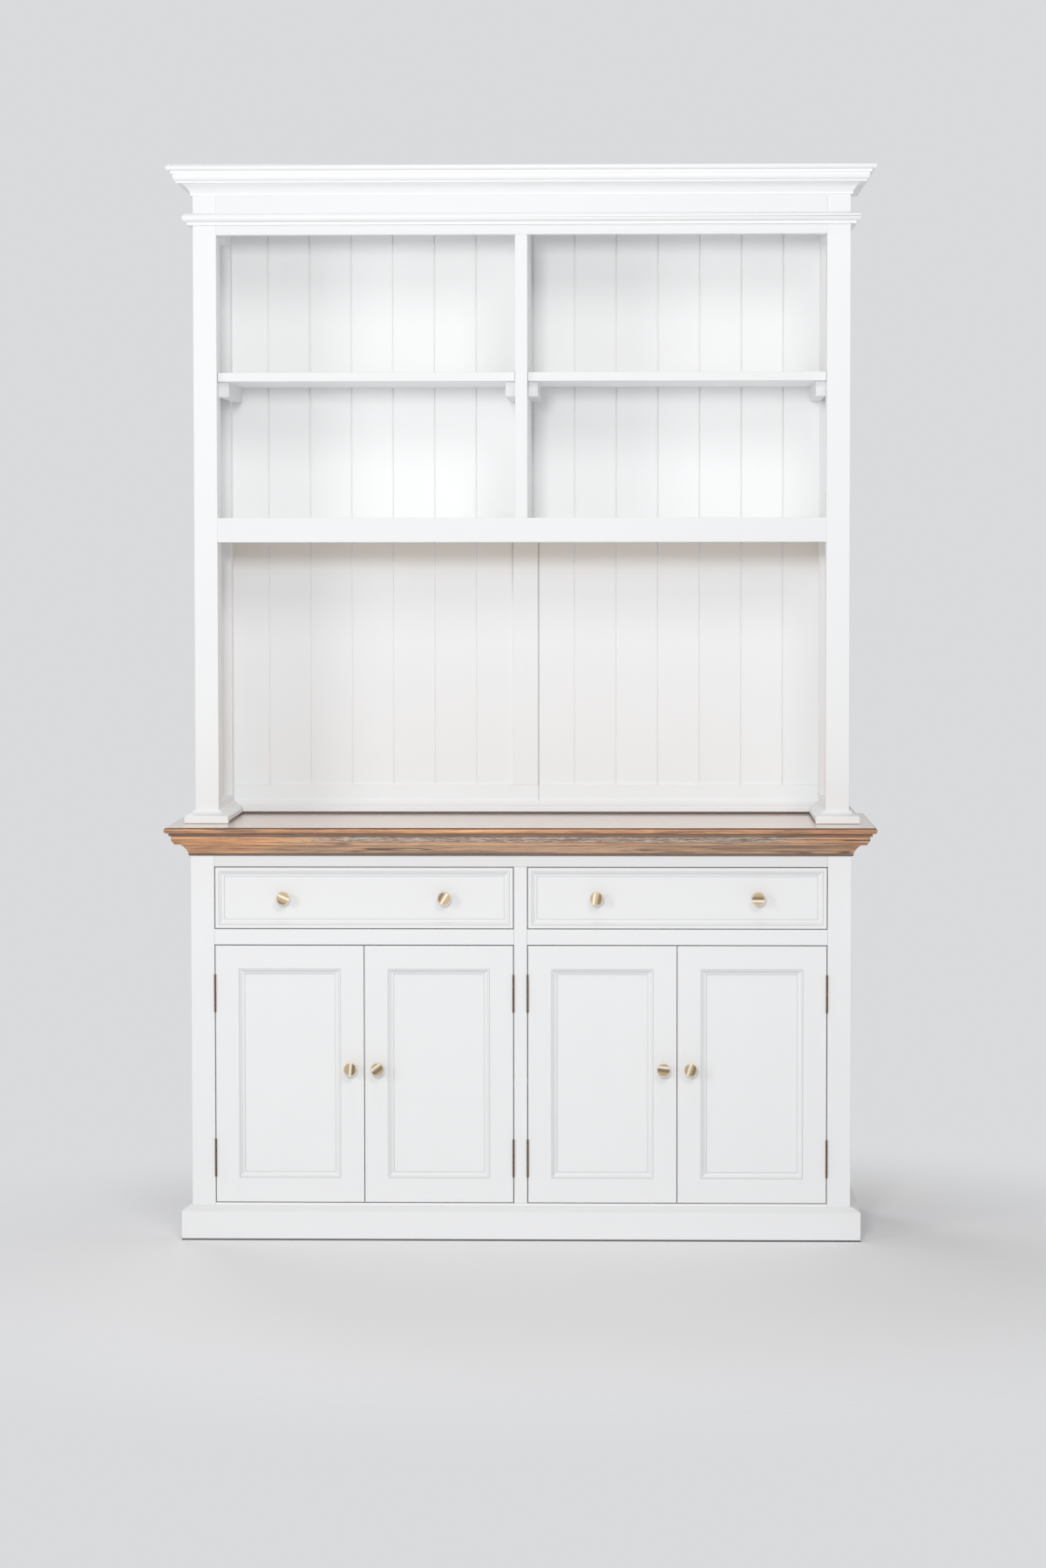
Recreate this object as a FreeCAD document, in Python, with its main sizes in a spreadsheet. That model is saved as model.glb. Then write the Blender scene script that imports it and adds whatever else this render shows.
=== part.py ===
"""A painted buffet hutch: a base with two drawers and four doors, a wooden counter, and an open shelf unit.

Millimetres. X runs to the right, Y to the back and Z up. The origin is on the floor, in the middle of the
width and of the depth. The doors and drawers face -Y.
"""

import FreeCAD, Part
import math
import os
from types import SimpleNamespace

import Sketcher

SIZES = {
    # The whole hutch
    "overall_width": 1450,  # across the counter and the cornice
    "overall_depth": 500,  # counter's front edge to the wall
    "overall_height": 2200,
    "overhang": 50,  # counter and cornice beyond the framing, at the front and the sides
    "base_height": 850,  # floor to the top of the counter
    "hutch_setback": 100,  # the hutch's face behind the base's face
    # Framing
    "post_width": 48,
    "post_depth": 60,
    "face_rail_thickness": 22,
    "carcass_board": 18,
    "back_sheet": 8,
    "side_panel_thickness": 10,
    "side_groove_depth": 8,
    "overrun": 2,  # how far a cutting tool passes the wood
    # Front of the base
    "bottom_rail_underside": 20,
    "door_opening_bottom": 75,
    "middle_rail_height": 32,
    "drawer_opening_height": 128,
    "top_rail_height": 65,
    "centre_stile_width": 27,
    "side_bottom_rail_height": 90,
    "side_top_rail_height": 62,
    "rear_rail_height": 60,
    # Plinth
    "plinth_thickness": 20,
    "plinth_height": 70,
    "plinth_bevel_height": 10,
    "plinth_top_land": 4,
    # Doors
    "front_gap": 2,  # round the doors and the drawer fronts
    "door_thickness": 20,
    "door_stile_width": 48,
    "door_top_rail_height": 48,
    "door_bottom_rail_height": 50,
    "door_panel_thickness": 6,
    "door_panel_recess": 8,
    "door_groove_depth": 9,
    "door_moulding_height": 6.8,
    "panel_moulding_width": 11,  # round the field of the doors and of the drawers
    "panel_moulding_land": 2.2,
    "panel_moulding_step": 0.8,
    "panel_moulding_edge": 1.6,
    # Hinges
    "hinge_length": 76,
    "hinge_below_top": 60,
    "hinge_above_bottom": 53,
    "knuckle_radius": 2.2,
    "knuckle_stand_off": 0.1,
    "knuckle_end_gap": 0.3,
    "pin_radius": 1.1,
    "pin_clearance": 0.05,
    "pin_head_radius": 1.9,
    "pin_head_height": 1.2,
    "leaf_thickness": 0.8,
    "leaf_width": 14,
    # Knobs
    "knob_radius": 14,
    "knob_projection": 27,
    "knob_head_thickness": 8,
    "knob_face_rise": 0.8,
    "knob_edge_radius": 1.2,
    "knob_neck_radius": 5.5,
    "knob_base_radius": 8,
    "knob_base_thickness": 2.5,
    "knob_flare_height": 2.5,
    "knob_bore_depth": 12,
    "knob_door_inset": 26.6,  # knob axis to the door's free edge
    "knob_above_middle": 12,  # knob axis above the middle of the door
    "knob_drawer_inset": 140,  # knob axis to the drawer front's end
    "screw_radius": 2,
    "screw_clearance": 0.2,
    "screw_head_radius": 4,
    "screw_head_height": 2.4,
    # Door catches
    "catch_width": 56,
    "catch_height": 34,
    "catch_depth": 18,
    "catch_drop": 16,
    "strike_clearance": 0.3,
    "strike_width": 20,
    "strike_height": 13,
    "strike_inset": 3,
    # Drawers
    "drawer_front_thickness": 20,
    "drawer_side_thickness": 12,
    "drawer_side_height": 120,
    "drawer_bottom_thickness": 6,
    "drawer_bottom_height": 10,
    "drawer_groove_depth": 6,
    "drawer_border": 7,
    "drawer_recess": 6,
    "drawer_moulding_height": 5.2,
    "running_clearance": 0.3,
    "runner_height": 20,
    "runner_width": 20,
    "guide_height": 20,
    "kicker_height": 20,
    "stop_width": 14,
    "stop_depth": 15,
    "stop_height": 26,
    # Shelves
    "shelf_thickness": 18,
    "shelf_play": 0.8,
    "cleat_width": 21,
    "cupboard_cleat_height": 19,
    "hutch_cleat_height": 31,
    "cleat_setback": 42,
    "cupboard_shelf_rise": 255,  # underside above the cupboard floor
    "cupboard_shelf_setback": 70,
    # Counter and cornice boards, and the crown moulding under both
    "board_thickness": 18,
    "nose_height": 12.5,
    "nose_radius": 6,
    "under_nose_setback": 9,
    "crown_height": 42,
    "crown_foot_thickness": 4,
    "crown_foot_height": 4.5,
    "crown_cove_reach": 20,
    "crown_cove_top": 24,
    "crown_step_reach": 31,
    "crown_ovolo_reach": 36.5,
    "crown_ovolo_foot": 27,
    # Hutch
    "open_bay_height": 580,  # counter to the middle rail
    "hutch_middle_rail_height": 50,
    "frieze_height": 122,
    "loose_shelf_setback": 15,
    "divider_thickness": 25,
    "hutch_foot_rail_height": 42,
    # Neck moulding
    "neck_rise": 20,  # underside above the frieze's bottom edge
    "neck_height": 23,
    "neck_fillet_height": 5,
    "neck_fillet_reach": 11,
    # Hutch back
    "plank_thickness": 10,
    "plank_pitch": 89,
    "plank_bevel": 2,
    "plank_joint_gap": 0.6,
    "tongue_length": 5,
    "tongue_thickness": 3,
    "centre_plank_width": 32,
    "muntin_width": 53,
    "back_frame_thickness": 6,
    "back_rail_height": 61,
    # Shoe moulding at the foot of the hutch
    "shoe_height": 27,
    "shoe_reach": 21,
    "shoe_face_height": 12,
    "shoe_shoulder": 5,
    "shoe_top_land": 4,
}

# How far an arc swells, as the tangent of a quarter of the angle that it turns through
QUARTER_SHARE = math.tan(math.pi / 8)
SHALLOW_SHARE = 0.16
HOLLOW_SHARE = 0.3
LINE_START, LINE_END = range(1, 3)  # how a sketch numbers the ends of a line
ORIGIN_POINT = (-1, 1)
QUARTER_TURN = 90

doc = FreeCAD.newDocument("Hutch")
sheet = doc.addObject("Spreadsheet::Sheet", "Sizes")


class Length:
    """A size that knows its value now and the sheet formula that gives it."""

    def __init__(self, value, formula):
        self.value = value
        self.formula = formula

    def __add__(self, other):
        other = as_length(other)
        return Length(self.value + other.value, f"({self.formula} + {other.formula})")

    def __sub__(self, other):
        other = as_length(other)
        return Length(self.value - other.value, f"({self.formula} - {other.formula})")

    def __rsub__(self, other):
        return as_length(other) - self

    def __mul__(self, count):
        return Length(self.value * count, f"({self.formula} * {count})")

    def __truediv__(self, count):
        return Length(self.value / count, f"({self.formula} / {count})")

    def __neg__(self):
        return Length(-self.value, f"(0 - {self.formula})")


def as_length(thing):
    """The thing itself, or a plain zero as a Length."""
    if isinstance(thing, Length):
        return thing
    return Length(float(thing), str(float(thing)))


def fill_sheet():
    """Writes every size into the sheet with its name as the alias, and returns them by name."""
    for row, (name, value) in enumerate(SIZES.items(), start=1):
        sheet.set(f"A{row}", name)
        sheet.set(f"B{row}", str(value))
        sheet.setAlias(f"B{row}", name)
    doc.recompute()
    found = {name: Length(float(sheet.get(name)), f"Sizes.{name}") for name in SIZES}
    return SimpleNamespace(**found)


s = fill_sheet()
NONE = as_length(0)


def bind(thing, place, length):
    """Ties one property of a document object to the sheet."""
    thing.setExpression(place, as_length(length).formula)


def put_at(thing, base, turn=None):
    """Places an object: its base is three lengths, and its turn is a rotation."""
    if turn is not None:
        thing.Placement = FreeCAD.Placement(FreeCAD.Vector(), turn)
    for letter, length in zip("xyz", base):
        bind(thing, f"Placement.Base.{letter}", length)
    return thing


def board(name, low, high):
    """A square-edged board between its lowest and its highest corner."""
    box = doc.addObject("Part::Box", name)
    for place, start, end in zip(("Length", "Width", "Height"), low, high):
        bind(box, place, as_length(end) - start)
    return put_at(box, low)


def rod(name, radius, height, base):
    """A round rod that stands on base, along +Z."""
    cylinder = doc.addObject("Part::Cylinder", name)
    bind(cylinder, "Radius", radius)
    bind(cylinder, "Height", height)
    return put_at(cylinder, base)


def fused(name, members):
    """One solid made of several that touch."""
    union = doc.addObject("Part::MultiFuse", name)
    union.Shapes = members
    union.Refine = True
    return union


def cut(name, base, tool):
    """The base with the tool's space taken out."""
    rest = doc.addObject("Part::Cut", name)
    rest.Base = base
    rest.Tool = tool
    return rest


def group(name, members, base=(NONE, NONE, NONE), turn=None):
    """Several separate solids that keep together, moved as one."""
    compound = doc.addObject("Part::Compound", name)
    compound.Links = members
    return put_at(compound, base, turn)


def mirrored(name, source):
    """The left-hand form of a right-hand piece, or the other way round."""
    image = doc.addObject("Part::Mirroring", name)
    image.Source = source
    image.Normal = FreeCAD.Vector(1, 0, 0)
    return image


def about(letter, degrees):
    """A rotation about one of the main axes."""
    axis = {"x": (1, 0, 0), "y": (0, 1, 0), "z": (0, 0, 1)}[letter]
    return FreeCAD.Rotation(FreeCAD.Vector(*axis), degrees)


def origin_plane(body, role):
    """One of the three planes that a body is built on."""
    return next(f for f in body.Origin.OriginFeatures if f.Role == role)


def sketch_on(body, name, plane, offset=NONE):
    """An empty sketch on a plane of the body, moved along the plane's normal."""
    sketch = body.newObject("Sketcher::SketchObject", name)
    sketch.AttachmentSupport = (origin_plane(body, plane), [""])
    sketch.MapMode = "FlatFace"
    bind(sketch, "AttachmentOffset.Base.z", offset)
    return sketch


def swelling_arc(start, end, share):
    """The arc from start to end, counter-clockwise, or clockwise where the share is negative."""
    chord = end - start
    size = abs(share)
    radius = chord.Length * (1 + size * size) / (4 * size)
    outward = FreeCAD.Vector(chord.y, -chord.x, 0)
    outward.normalize()
    middle = (start + end) * 0.5
    reach = radius - size * chord.Length / 2
    centre = middle - outward * math.copysign(reach, share)
    circle = Part.Circle(centre, FreeCAD.Vector(0, 0, 1), radius)
    first, last = (start, end) if share > 0 else (end, start)
    first_angle = math.atan2(first.y - centre.y, first.x - centre.x)
    last_angle = math.atan2(last.y - centre.y, last.x - centre.x)
    if last_angle <= first_angle:
        last_angle += 2 * math.pi
    return Part.ArcOfCircle(circle, first_angle, last_angle)


def arc_radius(start, end, share):
    """The radius of that arc, as a formula on the two corners."""
    across = end[0] - start[0]
    up = end[1] - start[1]
    chord_formula = f"sqrt({across.formula}^2 + {up.formula}^2)"
    chord = Length(math.hypot(across.value, up.value), chord_formula)
    return chord * ((1 + share * share) / (4 * abs(share)))


def draw(sketch, outline):
    """A closed outline in the sketch, with every corner tied to the sheet.

    Each corner is two lengths, and a third entry makes the edge that follows it an arc with that swell.
    """
    corners = [(as_length(corner[0]), as_length(corner[1])) for corner in outline]
    swells = [corner[2] if len(corner) == 3 else 0 for corner in outline]
    count = len(outline)
    points = [FreeCAD.Vector(across.value, up.value, 0) for across, up in corners]
    for index in range(count):
        start = points[index]
        end = points[(index + 1) % count]
        if swells[index]:
            sketch.addGeometry(swelling_arc(start, end, swells[index]))
        else:
            sketch.addGeometry(Part.LineSegment(start, end))
    for index in range(count):
        after = (index + 1) % count
        own_end = LINE_START if swells[index] < 0 else LINE_END
        next_start = LINE_END if swells[after] < 0 else LINE_START
        sketch.addConstraint(Sketcher.Constraint("Coincident", index, own_end, after, next_start))
    for index in range(count):
        own_start = LINE_END if swells[index] < 0 else LINE_START
        for kind, length in zip(("DistanceX", "DistanceY"), corners[index]):
            place = (*ORIGIN_POINT, index, own_start, length.value)
            number = sketch.addConstraint(Sketcher.Constraint(kind, *place))
            bind(sketch, f"Constraints[{number}]", length)
        if swells[index]:
            radius = arc_radius(corners[index], corners[(index + 1) % count], swells[index])
            number = sketch.addConstraint(Sketcher.Constraint("Radius", index, radius.value))
            bind(sketch, f"Constraints[{number}]", radius)


def add_pad(body, name, plane, outline, near, far):
    """Adds a bar of one section to the body, from near to far along the plane's axis."""
    offset = -as_length(far) if plane == "XZ_Plane" else near
    sketch = sketch_on(body, f"{name}_outline", plane, offset)
    draw(sketch, outline)
    pad = body.newObject("PartDesign::Pad", f"{name}_pad")
    pad.Profile = sketch
    bind(pad, "Length", as_length(far) - near)
    return pad


def bar(name, plane, outline, near, far):
    """A body of one section, from near to far along the plane's axis."""
    body = doc.addObject("PartDesign::Body", name)
    add_pad(body, name, plane, outline, near, far)
    return body


def add_pocket(body, name, plane, outline, offset, upward, depth=None):
    """Cuts an outline out of the body, up or down from a plane, right through if no depth is given."""
    sketch = sketch_on(body, f"{name}_outline", plane, offset)
    draw(sketch, outline)
    pocket = body.newObject("PartDesign::Pocket", f"{name}_pocket")
    pocket.Profile = sketch
    pocket.Reversed = upward
    if depth is None:
        pocket.Type = "ThroughAll"
    else:
        bind(pocket, "Length", depth)
    return pocket


def rectangle(low, high):
    """The four corners of a rectangle."""
    return [(low[0], low[1]), (high[0], low[1]), (high[0], high[1]), (low[0], high[1])]


def moulding_strip(name, section, reach, length, start_mitre, end_mitre):
    """A length of moulding along X, standing out along +Y, with its ends cut at 45 degrees or square.

    A mitre of 1 makes that end longer outside, for an outer corner, and -1 shorter, for an inner one.
    """
    near = -reach if start_mitre == 1 else NONE
    far = length + reach if end_mitre == 1 else length
    body = bar(name, "YZ_Plane", section, near, far)
    over = s.overrun
    deep = reach + over
    if start_mitre == 1:
        wedge = [(over, -over), (-deep, deep), (-deep, -over)]
        add_pocket(body, f"{name}_start", "XY_Plane", wedge, -over, True)
    if start_mitre == -1:
        wedge = [(-over, -over), (deep, deep), (-over, deep)]
        add_pocket(body, f"{name}_start", "XY_Plane", wedge, -over, True)
    if end_mitre == 1:
        wedge = [(length - over, -over), (length + deep, -over), (length + deep, deep)]
        add_pocket(body, f"{name}_end", "XY_Plane", wedge, -over, True)
    if end_mitre == -1:
        wedge = [(length + over, -over), (length + over, deep), (length - deep, deep)]
        add_pocket(body, f"{name}_end", "XY_Plane", wedge, -over, True)
    return body


def wrapped_moulding(name, section, reach, half_width, face, wall, height):
    """Moulding round the front and both sides of a carcass, in three mitred lengths."""
    front = moulding_strip(f"{name}_front", section, reach, half_width * 2, 1, 1)
    put_at(front, (half_width, face, height), about("z", 2 * QUARTER_TURN))
    left = moulding_strip(f"{name}_left", section, reach, wall - face, 1, 0)
    put_at(left, (-half_width, face, height), about("z", QUARTER_TURN))
    right = moulding_strip(f"{name}_right", section, reach, wall - face, 0, 1)
    put_at(right, (half_width, wall, height), about("z", -QUARTER_TURN))
    return group(name, [front, left, right])


def inner_frame_moulding(name, section, reach, width, height):
    """Four mitred strips round the inside of a frame, on its panel, standing out towards -Y."""
    strips = []
    runs = (("bottom", width, 0), ("right", height, 1), ("top", width, 2), ("left", height, 3))
    bases = ((-width / 2, NONE), (width / 2, NONE), (width / 2, height), (-width / 2, height))
    for (side, length, turns), (across, up) in zip(runs, bases):
        strip = moulding_strip(f"{name}_{side}", section, reach, length, -1, -1)
        turn = about("y", -turns * QUARTER_TURN).multiply(about("x", QUARTER_TURN))
        strips.append(put_at(strip, (across, NONE, up), turn))
    return group(name, strips)


# Places that several pieces share
half = s.overall_width / 2 - s.overhang
wall = s.overall_depth / 2
face = s.overhang - s.overall_depth / 2
hutch_face = face + s.hutch_setback
opening = half - s.post_width
stile_half = s.centre_stile_width / 2
bay_width = opening - stile_half
rail_back = face + s.face_rail_thickness
board_underside = s.base_height - s.board_thickness
drawer_opening_top = board_underside - s.top_rail_height
drawer_opening_bottom = drawer_opening_top - s.drawer_opening_height
door_opening_top = drawer_opening_bottom - s.middle_rail_height
door_height = door_opening_top - s.door_opening_bottom - s.front_gap * 2
post_back = face + s.post_depth
rear_post_front = wall - s.post_depth
back_sheet_front = wall - s.back_sheet
rear_rail_front = back_sheet_front - s.face_rail_thickness
drawer_stop_front = rear_rail_front - s.stop_depth
floor_underside = s.door_opening_bottom - s.carcass_board
partition_side = s.carcass_board / 2
panel_inner = half - s.post_width / 2 - s.side_panel_thickness / 2
cornice_underside = s.overall_height - s.board_thickness
hutch_rail_back = hutch_face + s.face_rail_thickness
hutch_middle_underside = s.base_height + s.open_bay_height
hutch_middle_top = hutch_middle_underside + s.hutch_middle_rail_height
hutch_opening_top = cornice_underside - s.frieze_height
loose_shelf_underside = (hutch_middle_top + hutch_opening_top - s.shelf_thickness) / 2
plank_face = wall - s.plank_thickness
door_front = s.knuckle_radius + s.knuckle_stand_off
back_frame_face = plank_face - s.back_frame_thickness

nodes = {}


def keep(name, piece):
    """Names the object that becomes one node."""
    piece.Label = name
    nodes[name] = piece


def post_outline():
    """A post's section, grooved in its rear face for the side panel. Local X across, Y to the back."""
    middle = s.post_width / 2
    groove = s.side_panel_thickness / 2
    floor = s.post_depth - s.side_groove_depth
    return [
        (NONE, NONE),
        (s.post_width, NONE),
        (s.post_width, s.post_depth),
        (middle + groove, s.post_depth),
        (middle + groove, floor),
        (middle - groove, floor),
        (middle - groove, s.post_depth),
        (NONE, s.post_depth),
    ]


def side_rail(name, length, bottom, height, grooved_top):
    """A side rail as thick as the posts, with a groove for the panel and a stub tenon at each end.

    It runs along Y from 0, centred on X. The groove is in its top edge or in its bottom edge.
    """
    outer = s.post_width / 2
    groove = s.side_panel_thickness / 2
    top = bottom + height
    low_corners = [(-outer, bottom), (outer, bottom)]
    high_corners = [(outer, top), (-outer, top)]
    if grooved_top:
        floor = top - s.side_groove_depth
        notch = [(groove, top), (groove, floor), (-groove, floor), (-groove, top)]
        outline = [*low_corners, high_corners[0], *notch, high_corners[1]]
        tenon = rectangle((-groove, bottom), (groove, floor))
    else:
        floor = bottom + s.side_groove_depth
        notch = [(-groove, bottom), (-groove, floor), (groove, floor), (groove, bottom)]
        outline = [low_corners[0], *notch, low_corners[1], *high_corners]
        tenon = rectangle((-groove, floor), (groove, top))
    body = bar(name, "XZ_Plane", outline, NONE, length)
    into = s.side_groove_depth
    add_pad(body, f"{name}_tenon", "XZ_Plane", tenon, -into, length + into)
    return body


def side_frames(prefix, front, bottom, top, foot, foot_height, head_height):
    """The framed side of the base or of the hutch: its two posts, two rails and panel, left and right."""
    middle = half - s.post_width / 2
    length = rear_post_front - (front + s.post_depth)
    head_bottom = top - head_height
    panel_low = foot + foot_height - s.side_groove_depth
    panel_high = head_bottom + s.side_groove_depth
    for side, sign in (("left", -1), ("right", 1)):
        name = f"{prefix}_side_{side}"
        inner_edge = middle * sign - s.post_width / 2
        outer_edge = middle * sign + s.post_width / 2
        front_post = bar(f"{prefix}_front_post_{side}", "XY_Plane", post_outline(), bottom, top)
        keep(f"{prefix}_post_{side}", put_at(front_post, (inner_edge, front, NONE)))
        rear_post = bar(f"{prefix}_rear_post_{side}", "XY_Plane", post_outline(), bottom, top)
        put_at(rear_post, (outer_edge, wall, NONE), about("z", 2 * QUARTER_TURN))
        foot_rail = side_rail(f"{name}_foot_rail", length, foot, foot_height, True)
        put_at(foot_rail, (middle * sign, front + s.post_depth, NONE))
        head_rail = side_rail(f"{name}_head_rail", length, head_bottom, head_height, False)
        put_at(head_rail, (middle * sign, front + s.post_depth, NONE))
        panel_half = s.side_panel_thickness / 2
        panel_start = front + s.post_depth - s.side_groove_depth
        panel_end = rear_post_front + s.side_groove_depth
        panel = board(
            f"{name}_panel",
            (middle * sign - panel_half, panel_start, panel_low),
            (middle * sign + panel_half, panel_end, panel_high),
        )
        keep(name, group(name, [rear_post, foot_rail, head_rail, panel]))


def base_carcass():
    """The base's rails, stile, floor, back and partition."""
    keep(
        "base_top_rails",
        group(
            "base_top_rails",
            [
                board(
                    "front_top_rail",
                    (-opening, face, drawer_opening_top),
                    (opening, rail_back, board_underside),
                ),
                board(
                    "rear_top_rail",
                    (-opening, rear_rail_front, board_underside - s.rear_rail_height),
                    (opening, back_sheet_front, board_underside),
                ),
            ],
        ),
    )
    keep(
        "base_bottom_rails",
        group(
            "base_bottom_rails",
            [
                board(
                    "front_bottom_rail",
                    (-opening, face, s.bottom_rail_underside),
                    (opening, rail_back, s.door_opening_bottom),
                ),
                board(
                    "rear_bottom_rail",
                    (-opening, rear_rail_front, s.bottom_rail_underside),
                    (opening, back_sheet_front, floor_underside),
                ),
            ],
        ),
    )
    middle_rails = [
        board(
            f"middle_rail_{side}",
            (low, face, door_opening_top),
            (high, rail_back, drawer_opening_bottom),
        )
        for side, low, high in (("left", -opening, -stile_half), ("right", stile_half, opening))
    ]
    keep("base_middle_rails", group("base_middle_rails", middle_rails))
    keep(
        "base_centre_stile",
        board(
            "centre_stile",
            (-stile_half, face, s.door_opening_bottom),
            (stile_half, rail_back, drawer_opening_top),
        ),
    )
    keep(
        "base_floor",
        board(
            "floor_board",
            (-opening, rail_back, floor_underside),
            (opening, back_sheet_front, s.door_opening_bottom),
        ),
    )
    keep(
        "base_back_panel",
        board(
            "back_panel",
            (-opening, back_sheet_front, s.bottom_rail_underside),
            (opening, wall, board_underside),
        ),
    )
    rail_low = board_underside - s.rear_rail_height
    partition_outline = [
        (rail_back, s.door_opening_bottom),
        (back_sheet_front, s.door_opening_bottom),
        (back_sheet_front, rail_low),
        (rear_rail_front, rail_low),
        (rear_rail_front, board_underside),
        (rail_back, board_underside),
    ]
    keep(
        "base_partition",
        bar("partition", "YZ_Plane", partition_outline, -partition_side, partition_side),
    )


def plinth():
    """The skirting round the foot, with a bevelled top edge."""
    section = [
        (NONE, NONE),
        (s.plinth_thickness, NONE),
        (s.plinth_thickness, s.plinth_height - s.plinth_bevel_height),
        (s.plinth_top_land, s.plinth_height),
        (NONE, s.plinth_height),
    ]
    keep(
        "plinth",
        wrapped_moulding("plinth_boards", section, s.plinth_thickness, half, face, wall, NONE),
    )


def cupboard_fittings():
    """The shelf in each cupboard, the cleats under it and the catch that holds the pair of doors."""
    cleats = []
    high = s.door_opening_bottom + s.cupboard_shelf_rise
    low = high - s.cupboard_cleat_height
    shelf_front = rail_back + s.cupboard_shelf_setback
    for side, sign in (("left", -1), ("right", 1)):
        outer = opening * sign
        inner = partition_side * sign
        outer_cleat = (outer, outer - s.cleat_width * sign)
        inner_cleat = (inner, inner + s.cleat_width * sign)
        for name, ends in (("outer", outer_cleat[::-sign]), ("inner", inner_cleat[::sign])):
            left, right = ends
            cleats.append(
                board(
                    f"cupboard_cleat_{name}_{side}",
                    (left, rail_back, low),
                    (right, back_sheet_front, high),
                )
            )
        edges = (inner + s.shelf_play * sign, outer - s.shelf_play * sign)
        left, right = edges[::sign]
        keep(
            f"cupboard_shelf_{side}",
            board(
                f"cupboard_shelf_board_{side}",
                (left, shelf_front, high),
                (right, back_sheet_front - s.shelf_play, high + s.shelf_thickness),
            ),
        )
    meeting = stile_half + bay_width / 2
    catches = []
    for side, sign in (("left", -1), ("right", 1)):
        catches.append(
            board(
                f"catch_{side}",
                (meeting * sign - s.catch_width / 2, rail_back, door_opening_top - s.catch_drop),
                (
                    meeting * sign + s.catch_width / 2,
                    rail_back + s.catch_depth,
                    door_opening_top - s.catch_drop + s.catch_height,
                ),
            )
        )
    keep("door_catches", group("door_catches", catches))
    return cleats


def drawer_runners():
    """For each drawer an outer and an inner runner with its guide, two kickers and two stops."""
    pieces = []
    top = drawer_opening_bottom
    low = top - s.runner_height
    guide_top = top + s.guide_height
    play = s.front_gap - s.running_clearance
    kicker_low = drawer_opening_top
    kicker_high = kicker_low + s.kicker_height
    for side, sign in (("left", -1), ("right", 1)):
        outer_edge = (opening - s.runner_width) * sign
        outer_back = panel_inner * sign
        outer_guide = (opening - play) * sign
        outer_outline = [
            (outer_back, low),
            (outer_edge, low),
            (outer_edge, top),
            (outer_guide, top),
            (outer_guide, guide_top),
            (outer_back, guide_top),
        ]
        inner_back = partition_side * sign
        inner_edge = (stile_half + s.runner_width) * sign
        inner_guide = (stile_half + play) * sign
        inner_outline = [
            (inner_back, low),
            (inner_edge, low),
            (inner_edge, top),
            (inner_guide, top),
            (inner_guide, guide_top),
            (inner_back, guide_top),
        ]
        if sign > 0:
            outer_outline = outer_outline[::-1]
        else:
            inner_outline = inner_outline[::-1]
        pieces.append(
            bar(f"outer_runner_{side}", "XZ_Plane", outer_outline, post_back, rear_post_front)
        )
        pieces.append(
            bar(f"inner_runner_{side}", "XZ_Plane", inner_outline, rail_back, rear_rail_front)
        )
        for name, back in (("outer", opening * sign), ("inner", partition_side * sign)):
            inward = -sign if name == "outer" else sign
            left, right = (back, back + s.runner_width * inward)[::inward]
            pieces.append(
                board(
                    f"{name}_kicker_{side}",
                    (left, rail_back, kicker_low),
                    (right, rear_rail_front, kicker_high),
                )
            )
        inner_stop = (stile_half + s.front_gap, stile_half + s.front_gap + s.stop_width)
        outer_stop = (opening - s.stop_width, opening)
        for name, ends, foot in (("inner", inner_stop, top), ("outer", outer_stop, guide_top)):
            left, right = (ends[0] * sign, ends[1] * sign)[::sign]
            pieces.append(
                board(
                    f"{name}_drawer_stop_{side}",
                    (left, drawer_stop_front, foot),
                    (right, rear_rail_front, foot + s.stop_height),
                )
            )
    keep("drawer_runners", group("drawer_runners", pieces))


def turned_knob():
    """A turned knob on the Y axis, standing forward of y = 0, bored from behind for its screw."""
    knob_face = -s.knob_projection
    rim_front = knob_face + s.knob_face_rise
    head_back = knob_face + s.knob_head_thickness
    edge = s.knob_edge_radius
    bore = s.screw_radius + s.screw_clearance
    outline = [
        (bore, NONE),
        (bore, -s.knob_bore_depth),
        (NONE, -s.knob_bore_depth),
        (NONE, knob_face),
        (s.knob_radius - edge, rim_front),
        (s.knob_radius, rim_front + edge),
        (s.knob_radius, head_back - edge),
        (s.knob_radius - edge, head_back),
        (s.knob_neck_radius, head_back + s.knob_flare_height),
        (s.knob_neck_radius, -s.knob_base_thickness - s.knob_flare_height, -QUARTER_SHARE),
        (s.knob_base_radius, -s.knob_base_thickness),
        (s.knob_base_radius, NONE),
    ]
    body = doc.addObject("PartDesign::Body", "knob")
    sketch = sketch_on(body, "knob_outline", "XY_Plane")
    draw(sketch, outline)
    turned = body.newObject("PartDesign::Revolution", "knob_turned")
    turned.Profile = sketch
    turned.ReferenceAxis = (sketch, ["V_Axis"])
    turned.Angle = 4 * QUARTER_TURN
    return body


def knob_screw(name, wood):
    """The screw that holds a knob through a thickness of wood. Its head stands on z = 0."""
    head = rod(f"{name}_head", s.screw_head_radius, s.screw_head_height, (NONE, NONE, NONE))
    length = wood + s.knob_bore_depth - s.screw_clearance
    shank = rod(f"{name}_shank", s.screw_radius, length, (NONE, NONE, -length))
    return fused(name, [head, shank])


def place_knob(name, knob, screw, across, up, front_y, back_y):
    """A knob on a front face with its screw head on the back face."""
    return [
        group(f"{name}_knob_body", [knob], (across, front_y, up)),
        group(f"{name}_knob_screw", [screw], (across, back_y, up), about("x", -QUARTER_TURN)),
    ]


def panel_moulding_section(height):
    """The moulding round a recessed panel: its reach over the panel and its height off it."""
    return [
        (NONE, NONE),
        (s.panel_moulding_width, NONE),
        (s.panel_moulding_width, s.panel_moulding_edge, -HOLLOW_SHARE),
        (s.panel_moulding_land, height - s.panel_moulding_step),
        (s.panel_moulding_land, height),
        (NONE, height),
    ]


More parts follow.
